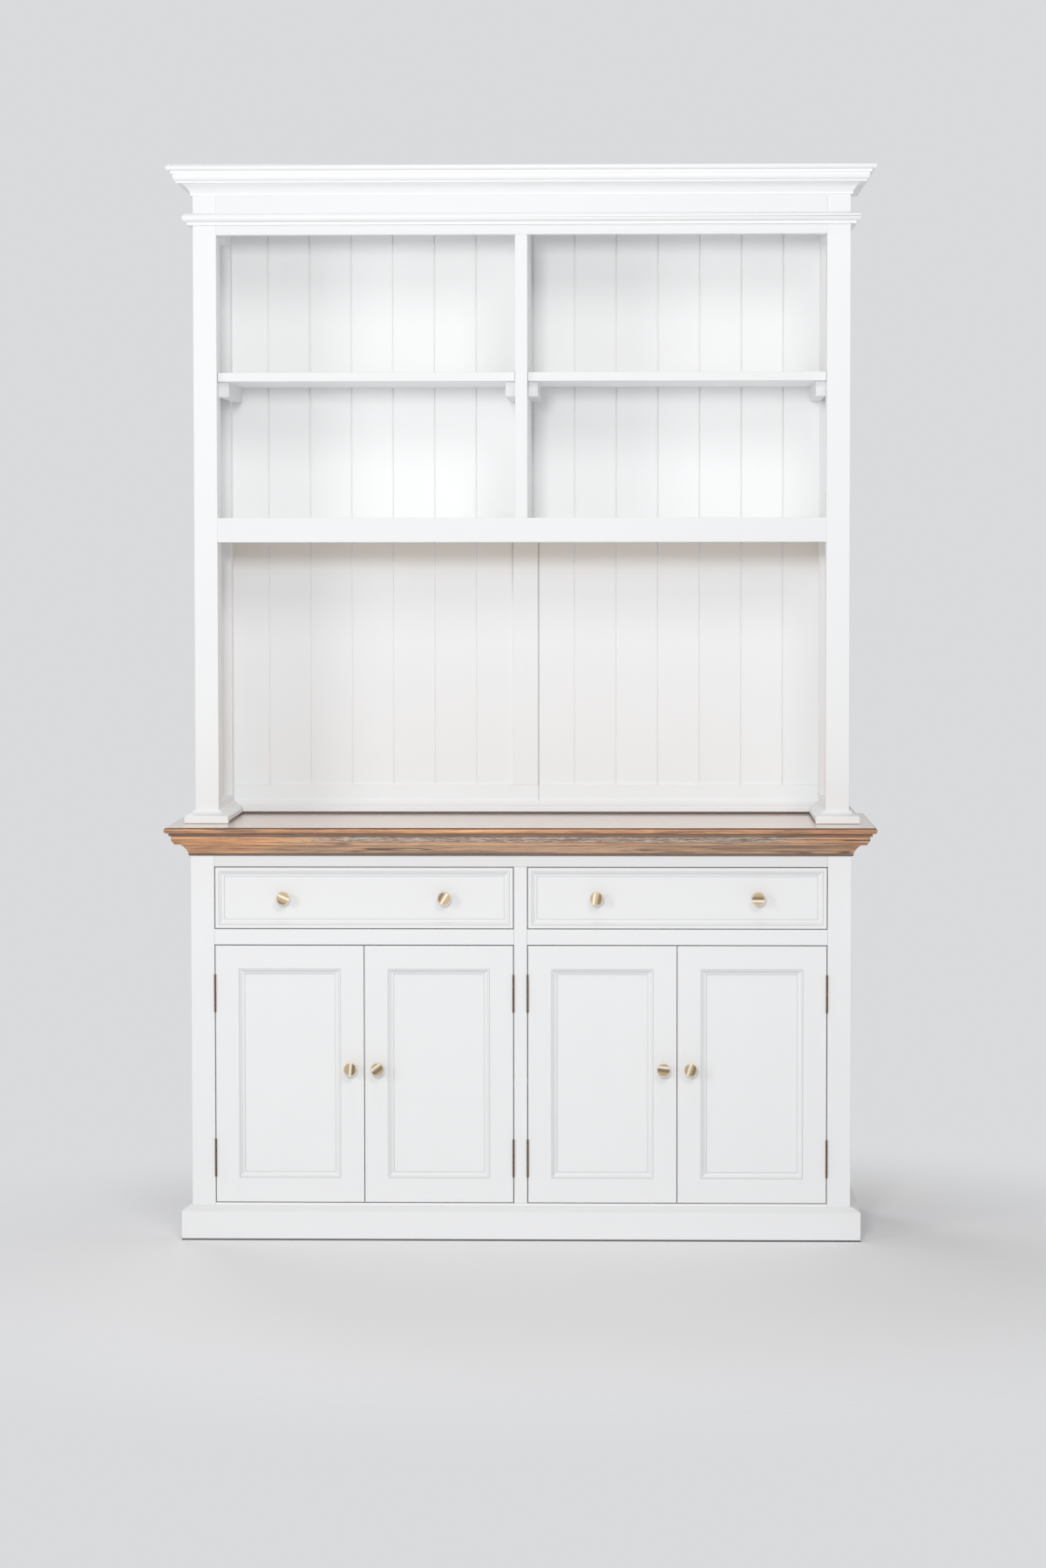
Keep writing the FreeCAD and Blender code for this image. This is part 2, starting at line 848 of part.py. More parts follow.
def door_parts(knob):
    """The pieces of a door hung on the left. Its hinge pin is the local Z axis, from its foot up."""
    width = (bay_width - s.front_gap * 3) / 2
    height = door_height
    left = s.front_gap / 2
    front = door_front
    back = front + s.door_thickness
    stile = s.door_stile_width
    groove_front = front + s.door_panel_recess
    groove_back = groove_front + s.door_panel_thickness
    into = s.door_groove_depth
    right = left + width

    hinge_stile = bar(
        "door_hinge_stile",
        "XY_Plane",
        [
            (left, front),
            (left + stile, front),
            (left + stile, groove_front),
            (left + stile - into, groove_front),
            (left + stile - into, groove_back),
            (left + stile, groove_back),
            (left + stile, back),
            (left, back),
        ],
        NONE,
        height,
    )
    free_stile = bar(
        "door_free_stile",
        "XY_Plane",
        [
            (right - stile, front),
            (right, front),
            (right, back),
            (right - stile, back),
            (right - stile, groove_back),
            (right - stile + into, groove_back),
            (right - stile + into, groove_front),
            (right - stile, groove_front),
        ],
        NONE,
        height,
    )
    knob_x = right - s.knob_door_inset
    knob_height = height / 2 + s.knob_above_middle
    hole = rod(
        "door_knob_hole",
        s.screw_radius + s.screw_clearance,
        s.door_thickness + s.overrun * 2,
        (NONE, NONE, NONE),
    )
    put_at(hole, (knob_x, back + s.overrun, knob_height), about("x", QUARTER_TURN))
    drilled_stile = cut("door_drilled_stile", free_stile, hole)

    inner_top = height - s.door_top_rail_height
    inner_bottom = s.door_bottom_rail_height
    top_rail = bar(
        "door_top_rail",
        "YZ_Plane",
        [
            (front, inner_top),
            (groove_front, inner_top),
            (groove_front, inner_top + into),
            (groove_back, inner_top + into),
            (groove_back, inner_top),
            (back, inner_top),
            (back, height),
            (front, height),
        ],
        left + stile,
        right - stile,
    )
    tenon = rectangle((groove_front, inner_top + into), (groove_back, height))
    add_pad(
        top_rail,
        "door_top_tenon",
        "YZ_Plane",
        tenon,
        left + stile - into,
        right - stile + into,
    )
    bottom_rail = bar(
        "door_bottom_rail",
        "YZ_Plane",
        [
            (front, NONE),
            (back, NONE),
            (back, inner_bottom),
            (groove_back, inner_bottom),
            (groove_back, inner_bottom - into),
            (groove_front, inner_bottom - into),
            (groove_front, inner_bottom),
            (front, inner_bottom),
        ],
        left + stile,
        right - stile,
    )
    tenon = rectangle((groove_front, NONE), (groove_back, inner_bottom - into))
    add_pad(
        bottom_rail,
        "door_bottom_tenon",
        "YZ_Plane",
        tenon,
        left + stile - into,
        right - stile + into,
    )
    frame = group("door_frame", [hinge_stile, drilled_stile, top_rail, bottom_rail])

    panel = board(
        "door_panel",
        (left + stile - into, groove_front, inner_bottom - into),
        (right - stile + into, groove_back, inner_top + into),
    )
    moulding = inner_frame_moulding(
        "door_moulding",
        panel_moulding_section(s.door_moulding_height),
        s.panel_moulding_width,
        width - stile * 2,
        inner_top - inner_bottom,
    )
    put_at(moulding, ((left + right) / 2, groove_front, inner_bottom))
    filled = group("door_panel_and_moulding", [panel, moulding])

    knob_set = group(
        "door_knob",
        place_knob(
            "door",
            knob,
            knob_screw("door_knob_screw", s.door_thickness),
            knob_x,
            knob_height,
            front,
            back,
        ),
    )

    leaf_back = front + s.leaf_width
    bore = s.pin_radius + s.pin_clearance
    third = s.hinge_length / 3
    tab_start = bore + (s.knuckle_radius - bore) / 2
    door_leaf_face = left - s.leaf_thickness
    door_leaf_members = [
        board(
            "door_leaf_plate",
            (door_leaf_face, front, NONE),
            (left, leaf_back, s.hinge_length),
        ),
        board(
            "door_leaf_tab",
            (door_leaf_face, tab_start, third + s.knuckle_end_gap),
            (left, front, third * 2 - s.knuckle_end_gap),
        ),
        rod(
            "door_leaf_knuckle",
            s.knuckle_radius,
            third - s.knuckle_end_gap * 2,
            (NONE, NONE, third + s.knuckle_end_gap),
        ),
    ]
    door_leaf = cut(
        "door_leaf",
        fused("door_leaf_solid", door_leaf_members),
        rod("door_leaf_bore", bore, s.hinge_length, (NONE, NONE, NONE)),
    )
    frame_leaf_members = [
        board(
            "frame_leaf_plate",
            (-left, front, NONE),
            (-door_leaf_face, leaf_back, s.hinge_length),
        )
    ]
    for name, low in (("lower", NONE), ("upper", third * 2)):
        frame_leaf_members.append(
            board(
                f"frame_leaf_tab_{name}",
                (-left, tab_start, low),
                (-door_leaf_face, front, low + third),
            )
        )
        frame_leaf_members.append(
            rod(f"frame_leaf_knuckle_{name}", s.knuckle_radius, third, (NONE, NONE, low))
        )
    frame_leaf = cut(
        "frame_leaf",
        fused("frame_leaf_solid", frame_leaf_members),
        rod("frame_leaf_bore", bore, s.hinge_length, (NONE, NONE, NONE)),
    )
    pin_members = [
        rod("pin_shank", s.pin_radius, s.hinge_length, (NONE, NONE, NONE)),
        rod("pin_top", s.pin_head_radius, s.pin_head_height, (NONE, NONE, s.hinge_length)),
        rod("pin_tip", s.pin_head_radius, s.pin_head_height, (NONE, NONE, -s.pin_head_height)),
    ]
    pin = fused("hinge_pin", pin_members)
    heights = {
        "lower": s.hinge_above_bottom,
        "upper": height - s.hinge_below_top - s.hinge_length,
    }
    door_leaves = [
        group(f"door_leaf_{name}", [door_leaf], (NONE, NONE, low)) for name, low in heights.items()
    ]
    frame_leaves = [
        group(f"frame_leaf_{name}", [frame_leaf, pin], (NONE, NONE, low))
        for name, low in heights.items()
    ]
    strike = board(
        "strike_plate",
        (right - s.strike_inset - s.strike_width, back, height - s.strike_height),
        (
            right - s.strike_inset,
            front + s.face_rail_thickness - s.strike_clearance,
            height,
        ),
    )
    hardware = group("door_hardware", [*door_leaves, strike])
    leaves = group("frame_leaves", frame_leaves)
    return {"frame": frame, "panel": filled, "knob": knob_set, "hardware": hardware}, leaves


def doors(knob):
    """Hangs four doors: each pair meets in the middle of its bay."""
    parts, leaves = door_parts(knob)
    pin_y = face - door_front
    foot = s.door_opening_bottom + s.front_gap
    mirrored_parts = {name: mirrored(f"{name}_mirrored", part) for name, part in parts.items()}
    mirrored_leaves = mirrored("leaves_mirrored", leaves)
    half_gap = s.front_gap / 2
    places = {
        "outer_left": (-opening + half_gap, parts, leaves),
        "inner_left": (-stile_half - half_gap, mirrored_parts, mirrored_leaves),
        "inner_right": (stile_half + half_gap, parts, leaves),
        "outer_right": (opening - half_gap, mirrored_parts, mirrored_leaves),
    }
    frame_leaves = []
    for place, (pin_x, own_parts, own_leaves) in places.items():
        base = (pin_x, pin_y, foot)
        for name, part in own_parts.items():
            node = f"{place}_door_{name}"
            keep(node, group(node, [part], base))
        frame_leaves.append(group(f"{place}_frame_leaves", [own_leaves], base))
    keep("hinge_frame_leaves", group("hinge_frame_leaves", frame_leaves))


def drawers(knob):
    """Two drawers, each with a moulded front, two sides, a back and a bottom in grooves."""
    front_width = bay_width - s.front_gap * 2
    front_height = s.drawer_opening_height - s.front_gap * 2
    front_back = face + s.drawer_front_thickness
    box_back = drawer_stop_front - s.running_clearance
    box_half = front_width / 2
    inner_half = box_half - s.drawer_side_thickness
    groove_half = inner_half + s.drawer_groove_depth
    front_low = drawer_opening_bottom + s.front_gap
    side_low = drawer_opening_bottom + s.running_clearance
    side_high = side_low + s.drawer_side_height
    bottom_low = side_low + s.drawer_bottom_height
    bottom_high = bottom_low + s.drawer_bottom_thickness
    groove_front = front_back - s.drawer_groove_depth
    field_half = front_width / 2 - s.drawer_border
    field_height = front_height - s.drawer_border * 2
    field_y = face + s.drawer_recess
    field_low = front_low + s.drawer_border
    knob_x = front_width / 2 - s.knob_drawer_inset
    knob_z = front_low + front_height / 2

    front = bar(
        "drawer_front_board",
        "XZ_Plane",
        rectangle((-front_width / 2, front_low), (front_width / 2, front_low + front_height)),
        face,
        front_back,
    )
    field = rectangle((-field_half, field_low), (field_half, field_low + field_height))
    add_pocket(front, "drawer_field", "XZ_Plane", field, -face, False, s.drawer_recess)
    groove = rectangle((-groove_half, bottom_low), (groove_half, bottom_high))
    add_pocket(front, "drawer_front_groove", "XZ_Plane", groove, -front_back, True, s.drawer_groove_depth)
    holes = []
    for side, sign in (("left", -1), ("right", 1)):
        hole = rod(
            f"drawer_knob_hole_{side}",
            s.screw_radius + s.screw_clearance,
            s.drawer_front_thickness + s.overrun * 2,
            (NONE, NONE, NONE),
        )
        hole_back = front_back + s.overrun
        holes.append(put_at(hole, (knob_x * sign, hole_back, knob_z), about("x", QUARTER_TURN)))
    drilled = cut("drawer_front_drilled", front, group("drawer_knob_holes", holes))
    moulding = inner_frame_moulding(
        "drawer_moulding",
        panel_moulding_section(s.drawer_moulding_height),
        s.panel_moulding_width,
        field_half * 2,
        field_height,
    )
    put_at(moulding, (NONE, field_y, field_low))

    sides = []
    for side, sign in (("left", -1), ("right", 1)):
        outline = [
            (box_half * sign, side_low),
            (box_half * sign, side_high),
            (inner_half * sign, side_high),
            (inner_half * sign, bottom_high),
            (groove_half * sign, bottom_high),
            (groove_half * sign, bottom_low),
            (inner_half * sign, bottom_low),
            (inner_half * sign, side_low),
        ]
        sides.append(
            bar(f"drawer_side_{side}", "XZ_Plane", outline[::sign], front_back, box_back)
        )
    back = board(
        "drawer_back",
        (-inner_half, box_back - s.drawer_side_thickness, bottom_high),
        (inner_half, box_back, side_high),
    )
    bottom = board(
        "drawer_bottom",
        (-groove_half, groove_front, bottom_low),
        (groove_half, box_back, bottom_high),
    )
    knobs = []
    screw = knob_screw("drawer_knob_screw", s.drawer_front_thickness - s.drawer_recess)
    for side, sign in (("left", -1), ("right", 1)):
        knobs += place_knob(f"drawer_{side}", knob, screw, knob_x * sign, knob_z, field_y, front_back)
    members = {
        "front": [drilled, moulding],
        "box": [*sides, back],
        "bottom": [bottom],
        "knobs": knobs,
    }
    centre = stile_half + bay_width / 2
    for side, sign in (("left", -1), ("right", 1)):
        for name, pieces in members.items():
            node = f"{side}_drawer_{name}"
            keep(node, group(node, pieces, (centre * sign, NONE, NONE)))


def nosed_board(name, front, underside):
    """A board with a rounded nose and a fillet under it at the front and both ends."""
    nose_low = underside + s.board_thickness - s.nose_height
    top = underside + s.board_thickness
    edge = half + s.overhang
    inner = edge - s.under_nose_setback
    body = doc.addObject("PartDesign::Body", name)
    nose = rectangle((-edge, front), (edge, wall))
    pad = add_pad(body, f"{name}_nose", "XY_Plane", nose, nose_low, top)
    doc.recompute()
    edges = []
    for number, line in enumerate(pad.Shape.Edges, start=1):
        box = line.BoundBox
        level = box.ZLength < box.DiagonalLength / 2
        at_wall = box.YMin > front.value and box.YLength < box.XLength
        if level and not at_wall:
            edges.append(f"Edge{number}")
    rounded = body.newObject("PartDesign::Fillet", f"{name}_rounded")
    rounded.Base = (pad, edges)
    bind(rounded, "Radius", s.nose_radius)
    fillet = rectangle((-inner, front + s.under_nose_setback), (inner, wall))
    add_pad(body, f"{name}_fillet", "XY_Plane", fillet, underside, nose_low)
    return body


def crown_section():
    """The crown moulding's section: a foot, a cove, a step and an ovolo, from the foot up."""
    return [
        (NONE, NONE),
        (s.crown_foot_thickness, NONE),
        (s.crown_foot_thickness, s.crown_foot_height, -SHALLOW_SHARE),
        (s.crown_cove_reach, s.crown_cove_top),
        (s.crown_step_reach, s.crown_cove_top),
        (s.crown_step_reach, s.crown_ovolo_foot, HOLLOW_SHARE),
        (s.crown_ovolo_reach, s.crown_height - s.crown_foot_height),
        (s.crown_ovolo_reach, s.crown_height),
        (NONE, s.crown_height),
    ]


def counter():
    """The wooden counter and the crown moulding that carries its edge."""
    keep("counter_board", nosed_board("counter_top", face - s.overhang, board_underside))
    low = board_underside - s.crown_height
    keep(
        "counter_moulding",
        wrapped_moulding("counter_crown", crown_section(), s.crown_ovolo_reach, half, face, wall, low),
    )


def cornice():
    """The cornice board, its crown moulding and the neck moulding below the frieze."""
    keep("cornice_board", nosed_board("cornice_top", hutch_face - s.overhang, cornice_underside))
    low = cornice_underside - s.crown_height
    crown = wrapped_moulding(
        "cornice_crown", crown_section(), s.crown_ovolo_reach, half, hutch_face, wall, low
    )
    keep("cornice_moulding", crown)
    nose_radius = (s.neck_height - s.neck_fillet_height) / 2
    reach = s.neck_fillet_reach + nose_radius
    section = [
        (NONE, NONE),
        (s.neck_fillet_reach, NONE),
        (s.neck_fillet_reach, s.neck_fillet_height, QUARTER_SHARE),
        (reach, s.neck_fillet_height + nose_radius, QUARTER_SHARE),
        (s.neck_fillet_reach, s.neck_height),
        (NONE, s.neck_height),
    ]
    keep(
        "neck_moulding",
        wrapped_moulding(
            "neck", section, reach, half, hutch_face, wall, hutch_opening_top + s.neck_rise
        ),
    )


def hutch_carcass(cleats):
    """The hutch's rails, shelves, divider and top board."""
    keep(
        "hutch_frieze",
        board(
            "frieze_rail",
            (-opening, hutch_face, hutch_opening_top),
            (opening, hutch_rail_back, cornice_underside),
        ),
    )
    middle_top = hutch_middle_top
    keep(
        "hutch_middle_rail",
        board(
            "middle_rail",
            (-opening, hutch_face, hutch_middle_underside),
            (opening, hutch_rail_back, middle_top),
        ),
    )
    keep(
        "hutch_fixed_shelf",
        board(
            "fixed_shelf",
            (-opening, hutch_rail_back, middle_top - s.shelf_thickness),
            (opening, plank_face, middle_top),
        ),
    )
    top_underside = cornice_underside - s.carcass_board
    keep(
        "hutch_top_board",
        board(
            "top_board",
            (-opening, hutch_rail_back, top_underside),
            (opening, plank_face, cornice_underside),
        ),
    )
    divider_half = s.divider_thickness / 2
    divider_outline = [
        (hutch_face, middle_top),
        (plank_face, middle_top),
        (plank_face, top_underside),
        (hutch_rail_back, top_underside),
        (hutch_rail_back, hutch_opening_top),
        (hutch_face, hutch_opening_top),
    ]
    keep(
        "hutch_divider",
        bar("divider", "YZ_Plane", divider_outline, -divider_half, divider_half),
    )
    shelves = []
    low = loose_shelf_underside
    cleat_low = low - s.hutch_cleat_height
    cleat_front = hutch_face + s.cleat_setback
    for side, sign in (("left", -1), ("right", 1)):
        outer = opening * sign
        inner = divider_half * sign
        left, right = (inner + s.shelf_play * sign, outer - s.shelf_play * sign)[::sign]
        shelves.append(
            board(
                f"loose_shelf_{side}",
                (left, hutch_face + s.loose_shelf_setback, low),
                (right, plank_face - s.shelf_play, low + s.shelf_thickness),
            )
        )
        for name, back, inward in (("outer", outer, -sign), ("inner", inner, sign)):
            left, right = (back, back + s.cleat_width * inward)[::inward]
            cleats.append(
                board(
                    f"hutch_cleat_{name}_{side}",
                    (left, cleat_front, cleat_low),
                    (right, plank_face, low),
                )
            )
    keep("hutch_shelves", group("hutch_shelves", shelves))
    keep("shelf_cleats", group("shelf_cleats", cleats))


def plank(name, width, low, high, has_groove, has_tongue):
    """A bevelled plank, grooved in its left edge, with a tongue on its right. Local X right, Y back."""
    bevel = s.plank_bevel
    half_gap = s.plank_joint_gap / 2
    thick = s.plank_thickness
    tongue_front = thick - s.tongue_thickness * 2
    tongue_back = thick - s.tongue_thickness
    left = half_gap if has_groove else NONE
    right = width - half_gap if has_tongue else width
    outline = [(left + bevel, NONE) if has_groove else (left, NONE)]
    if has_tongue:
        outline += [
            (right - bevel, NONE),
            (right, bevel),
            (right, tongue_front),
            (right + s.tongue_length, tongue_front),
            (right + s.tongue_length, tongue_back),
            (right, tongue_back),
        ]
    else:
        outline.append((right, NONE))
    outline += [(right, thick), (left, thick)]
    if has_groove:
        depth = left + s.tongue_length
        outline += [(left, tongue_back), (depth, tongue_back), (depth, tongue_front)]
        outline += [(left, tongue_front), (left, bevel)]
    return bar(name, "XY_Plane", outline, low, high)


def hutch_back():
    """Tongue-and-groove planks, with a muntin and a bottom rail in front of them in the open bay."""
    low = s.base_height
    high = cornice_underside
    pitch = s.plank_pitch
    centre_half = s.centre_plank_width / 2
    count = math.ceil((opening - centre_half).value / pitch.value) - 1
    edge_width = opening - centre_half - pitch * count
    whole = plank("plank_whole", pitch, low, high, True, True)
    planks = [
        group(
            "plank_first",
            [plank("plank_left_edge", edge_width, low, high, False, True)],
            (-opening, plank_face, NONE),
        )
    ]
    for index in range(count):
        start = -opening + edge_width + pitch * index
        planks.append(group(f"plank_left_{index}", [whole], (start, plank_face, NONE)))
    centre = plank("plank_centre", s.centre_plank_width, low, high, True, True)
    planks.append(put_at(centre, (-centre_half, plank_face, NONE)))
    for index in range(count):
        start = centre_half + pitch * index
        planks.append(group(f"plank_right_{index}", [whole], (start, plank_face, NONE)))
    last = plank("plank_right_edge", edge_width, low, high, True, False)
    planks.append(put_at(last, (opening - edge_width, plank_face, NONE)))
    keep("hutch_back_planks", group("hutch_back_planks", planks))

    rail_top = s.base_height + s.back_rail_height
    shelf_underside = hutch_middle_top - s.shelf_thickness
    muntin_half = s.muntin_width / 2
    keep(
        "hutch_back_frame",
        group(
            "hutch_back_frame",
            [
                board(
                    "muntin",
                    (-muntin_half, back_frame_face, rail_top),
                    (muntin_half, plank_face, shelf_underside),
                ),
                board(
                    "back_bottom_rail",
                    (-opening, back_frame_face, s.base_height),
                    (opening, plank_face, rail_top),
                ),
            ],
        ),
    )


def hutch_shoe():
    """The moulding round each post's foot, along the inside of each side and along the back."""
    shoulder = s.shoe_shoulder
    section = [
        (NONE, NONE),
        (s.shoe_reach, NONE),
        (s.shoe_reach, s.shoe_face_height, QUARTER_SHARE),
        (s.shoe_reach - shoulder, s.shoe_face_height + shoulder, -HOLLOW_SHARE),
        (s.shoe_top_land, s.shoe_height),
        (NONE, s.shoe_height),
    ]
    reach = s.shoe_reach
    height = s.base_height
    pieces = []
    foot_length = s.post_width
    outer_length = wall - hutch_face
    inner_length = back_frame_face - hutch_face
    quarter = about("z", QUARTER_TURN)
    three_quarters = about("z", -QUARTER_TURN)
    half_turn = about("z", 2 * QUARTER_TURN)
    left_outer = moulding_strip("shoe_left_outer", section, reach, outer_length, 1, 0)
    pieces.append(put_at(left_outer, (-half, hutch_face, height), quarter))
    right_outer = moulding_strip("shoe_right_outer", section, reach, outer_length, 0, 1)
    pieces.append(put_at(right_outer, (half, wall, height), three_quarters))
    left_foot = moulding_strip("shoe_left_foot", section, reach, foot_length, 1, 1)
    pieces.append(put_at(left_foot, (-opening, hutch_face, height), half_turn))
    right_foot = moulding_strip("shoe_right_foot", section, reach, foot_length, 1, 1)
    pieces.append(put_at(right_foot, (half, hutch_face, height), half_turn))
    left_inner = moulding_strip("shoe_left_inner", section, reach, inner_length, -1, 1)
    pieces.append(put_at(left_inner, (-opening, back_frame_face, height), three_quarters))
    right_inner = moulding_strip("shoe_right_inner", section, reach, inner_length, 1, -1)
    pieces.append(put_at(right_inner, (opening, hutch_face, height), quarter))
    back = moulding_strip("shoe_back", section, reach, opening * 2, -1, -1)
    pieces.append(put_at(back, (opening, back_frame_face, height), half_turn))
    keep("hutch_shoe", group("hutch_shoe", pieces))


def build():
    """Builds every piece."""
    side_frames(
        "base",
        face,
        NONE,
        board_underside,
        s.bottom_rail_underside,
        s.side_bottom_rail_height,
        s.side_top_rail_height,
    )
    base_carcass()
    plinth()
    cleats = cupboard_fittings()
    drawer_runners()
    knob = turned_knob()
    doors(knob)
    drawers(knob)
    counter()
    side_frames(
        "hutch",
        hutch_face,
        s.base_height,
        cornice_underside,
        s.base_height,
        s.hutch_foot_rail_height,
        s.frieze_height,
    )
    hutch_carcass(cleats)
    hutch_back()
    hutch_shoe()
    cornice()


def check_and_write():
    """Stops if any object failed, then writes each node's solids."""
    doc.recompute()
    for thing in doc.Objects:
        if "Invalid" in thing.State or "Error" in thing.State:
            raise RuntimeError(f"{thing.Label} failed: {thing.State}")
    for name, piece in nodes.items():
        shape = piece.Shape
        if shape.isNull() or not shape.isValid() or not shape.Solids:
            raise RuntimeError(f"{name} has no valid solid")
    os.makedirs("parts", exist_ok=True)
    for name, piece in nodes.items():
        piece.Shape.exportStep(f"parts/{name}.step")
    print(f"{len(nodes)} nodes, {sum(len(p.Shape.Solids) for p in nodes.values())} solids")


build()
check_and_write()
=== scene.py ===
"""Dresses the hutch: painted framing and doors, a wooden counter, brass knobs and bronze hinges."""

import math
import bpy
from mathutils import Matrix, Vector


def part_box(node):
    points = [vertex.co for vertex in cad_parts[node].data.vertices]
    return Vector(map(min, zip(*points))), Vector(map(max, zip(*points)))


bl_info = {
    "name": "Hutch Looks",
    "version": (1, 0, 0),
    "blender": (4, 5, 0),
    "location": "3D View > Sidebar > Hutch",
    "description": "Finishes for the hutch's framing, counter, knobs and hinges, and a plain stage",
    "category": "Object",
}

import bmesh
import bpy
from bpy.props import FloatProperty, FloatVectorProperty, PointerProperty
from mathutils import Matrix, Vector

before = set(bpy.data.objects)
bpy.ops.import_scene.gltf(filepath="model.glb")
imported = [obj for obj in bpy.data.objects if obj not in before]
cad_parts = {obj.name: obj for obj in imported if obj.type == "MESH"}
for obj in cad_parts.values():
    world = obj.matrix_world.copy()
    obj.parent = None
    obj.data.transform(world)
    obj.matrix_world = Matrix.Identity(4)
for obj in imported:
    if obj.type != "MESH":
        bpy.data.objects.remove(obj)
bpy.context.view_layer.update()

DOORS = ("outer_left", "inner_left", "inner_right", "outer_right")
DRAWERS = ("left", "right")
FACE_UPRIGHTS = ("base_post_left", "base_post_right", "base_centre_stile")
UPRIGHTS = (
    "base_partition",
    "base_side_left",
    "base_side_right",
    "hutch_post_left",
    "hutch_post_right",
    "hutch_side_left",
    "hutch_side_right",
)
SHELVES = (
    "base_floor",
    "cupboard_shelf_left",
    "cupboard_shelf_right",
    "hutch_fixed_shelf",
    "hutch_top_board",
)
UPPER_RAILS = ("hutch_frieze", "hutch_middle_rail", "hutch_shelves")
MOULDINGS = ("cornice_board", "cornice_moulding", "neck_moulding")

# Painted shade and light on each row of rails, as a share of the outside paint: the top rails darker, as in
# the counter's shade, and the bottom rails lighter
FACE_RAIL_PAINTED_LIGHT = {"base_top_rails": 0.9, "base_middle_rails": 1.0, "base_bottom_rails": 1.1}

# For each knob, the drawers' first: the turn of its brushing in degrees, then how far across it its painted
# highlight band and its painted dark reflection band lie, in radii
KNOB_BANDS = (
    (-25, 0.2, -0.75),
    (60, 0.0, 0.6),
    (80, 0.35, -0.5),
    (0, -0.28, 0.08),
    (85, 0.0, -0.45),
    (38, 0.45, -0.15),
    (-6, 0.4, -0.02),
    (72, 0.22, -0.5),
)


def side_of(node, axis, high):
    """One face of a node's box, in metres."""
    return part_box(node)[1 if high else 0][axis]


def inset_box(low, high, depth):
    """The box that lies a depth inside another."""
    step = Vector((depth, depth, depth))
    return low + step, high - step


def shaded(color, share):
    """A colour with only a share of its light."""
    return tuple(level * share for level in color)


COUNTER_TOP = side_of("counter_board", 2, True)
COUNTER_UNDERSIDE = side_of("counter_board", 2, False)
CROWN_FOOT = side_of("counter_moulding", 2, False)
HALF_WIDTH = side_of("base_post_right", 0, True)
BASE_FACE = side_of("base_post_right", 1, False)
HUTCH_FACE = side_of("hutch_post_right", 1, False)
OPEN_BAY_TOP = side_of("hutch_middle_rail", 2, False)
PLANK_FACE = side_of("hutch_back_planks", 1, False)
DRAWER_BACK = side_of("left_drawer_box", 1, True)

# Sizes of the woodwork in metres, which the boxes of the nodes don't give
PLANK_PITCH = 0.089
FIRST_JOINT = 0.016  # from the middle of the hutch
JOINT_DEPTH = 0.001
MUNTIN_HALF = 0.0265
BACK_RAIL_HEIGHT = 0.061
PANEL_GROOVE = 0.009
MOULDING_WIDTH = 0.011
DRAWER_BORDER = 0.007
DRAWER_BOARD = 0.012

# How far past the rail's foot and the drawer's back board their turned grain starts
RAIL_MARGIN = 0.01
BACK_MARGIN = 0.0005

# How edges are eased, in metres, and from what turn in degrees
CATCH_EASE = 0.001
MERGE_DISTANCE = 0.00001
SHARP_ANGLE = 40

# Widths in metres of the painted shade in the gaps and quirks, and of the painted shadow lines along the
# floor, under the shoe and beside the muntin. A line is drawn in full to its core, and fades out by its edge
GAP_EDGE = 0.001
PLINTH_SHADOW_HEIGHT = 0.004
QUIRK_CORE = 0.0005
QUIRK_EDGE = 0.0012
SHOE_SHADOW_FRONT = 0.001
SHOE_SHADOW_BACK = 0.005
SHOE_SHADOW_RUN = 0.02
MUNTIN_SHADOW_OFFSET = 0.0014
MUNTIN_SHADOW_CORE = 0.0009
MUNTIN_SHADOW_EDGE = 0.0017

# Distances below the open bay's rail, for its painted tints, painted shade and painted shadow lines
MUNTIN_SHADOW_FOOT = 0.16
MUNTIN_SHADOW_TOP = 0.06
BAY_TONE_TOP = 0.2
BAY_SHADE_FOOT = 0.09
BAY_SHADE_TOP = 0.01

# Stretches of the counter: the middle's x, and how far from it the core and the stretch end. On the top,
# the pale stretch is partly the wood's own colour and partly painted sheen
DULL_MIDDLE = 0.1
DULL_CORE = 0.5
DULL_END = 0.76
WORN_MIDDLE = 0.07
WORN_CORE = 0.36
WORN_END = 0.6
TOP_SHEEN_CORE = 0.56
TOP_SHEEN_END = 0.72

# Heights above the foot of the counter's moulding
DULL_FOOT = 0.022
DULL_TOP = 0.03
WORN_FOOT = 0.026
WORN_TOP = 0.031
STAIN_SHADE_FOOT_CORE = 0.004
STAIN_SHADE_FOOT_END = 0.0068

# Staining and painted shade along the counter board's underside and its top edge: how far inside each, and
# how wide
STAIN_SHADE_QUIRK = 0.0025
STAIN_SHADE_QUIRK_CORE = 0.0026
STAIN_SHADE_QUIRK_END = 0.005
STAIN_SHADE_EDGE = 0.0013
STAIN_SHADE_EDGE_CORE = 0.0013
STAIN_SHADE_EDGE_END = 0.0025
TOP_DEPTH = 0.0003

# Depths of the bumps in wood, metal and plastic
WAXED_DEPTH = 0.0003
SANDED_DEPTH = 0.00015
BRUSHED_DEPTH = 0.00002
BLOOM_DEPTH = 0.00008
SPARK_DEPTH = 0.00005

# Limits for the part of a face's normal that lies along an axis
SQUARE_ON = 0.5
SLANTED = 0.3
UNDERCUT = -0.2
LEVEL_UNDERSIDE = -0.97
FLAT_FRONT = -0.95

# In radii: a wider node holds two knobs, and what lies farther from the second belongs to the first
KNOB_REACH = 3

# Metres from the middle of the hutch within which both sides of a board count as inward
MIDDLE_REACH = 0.1
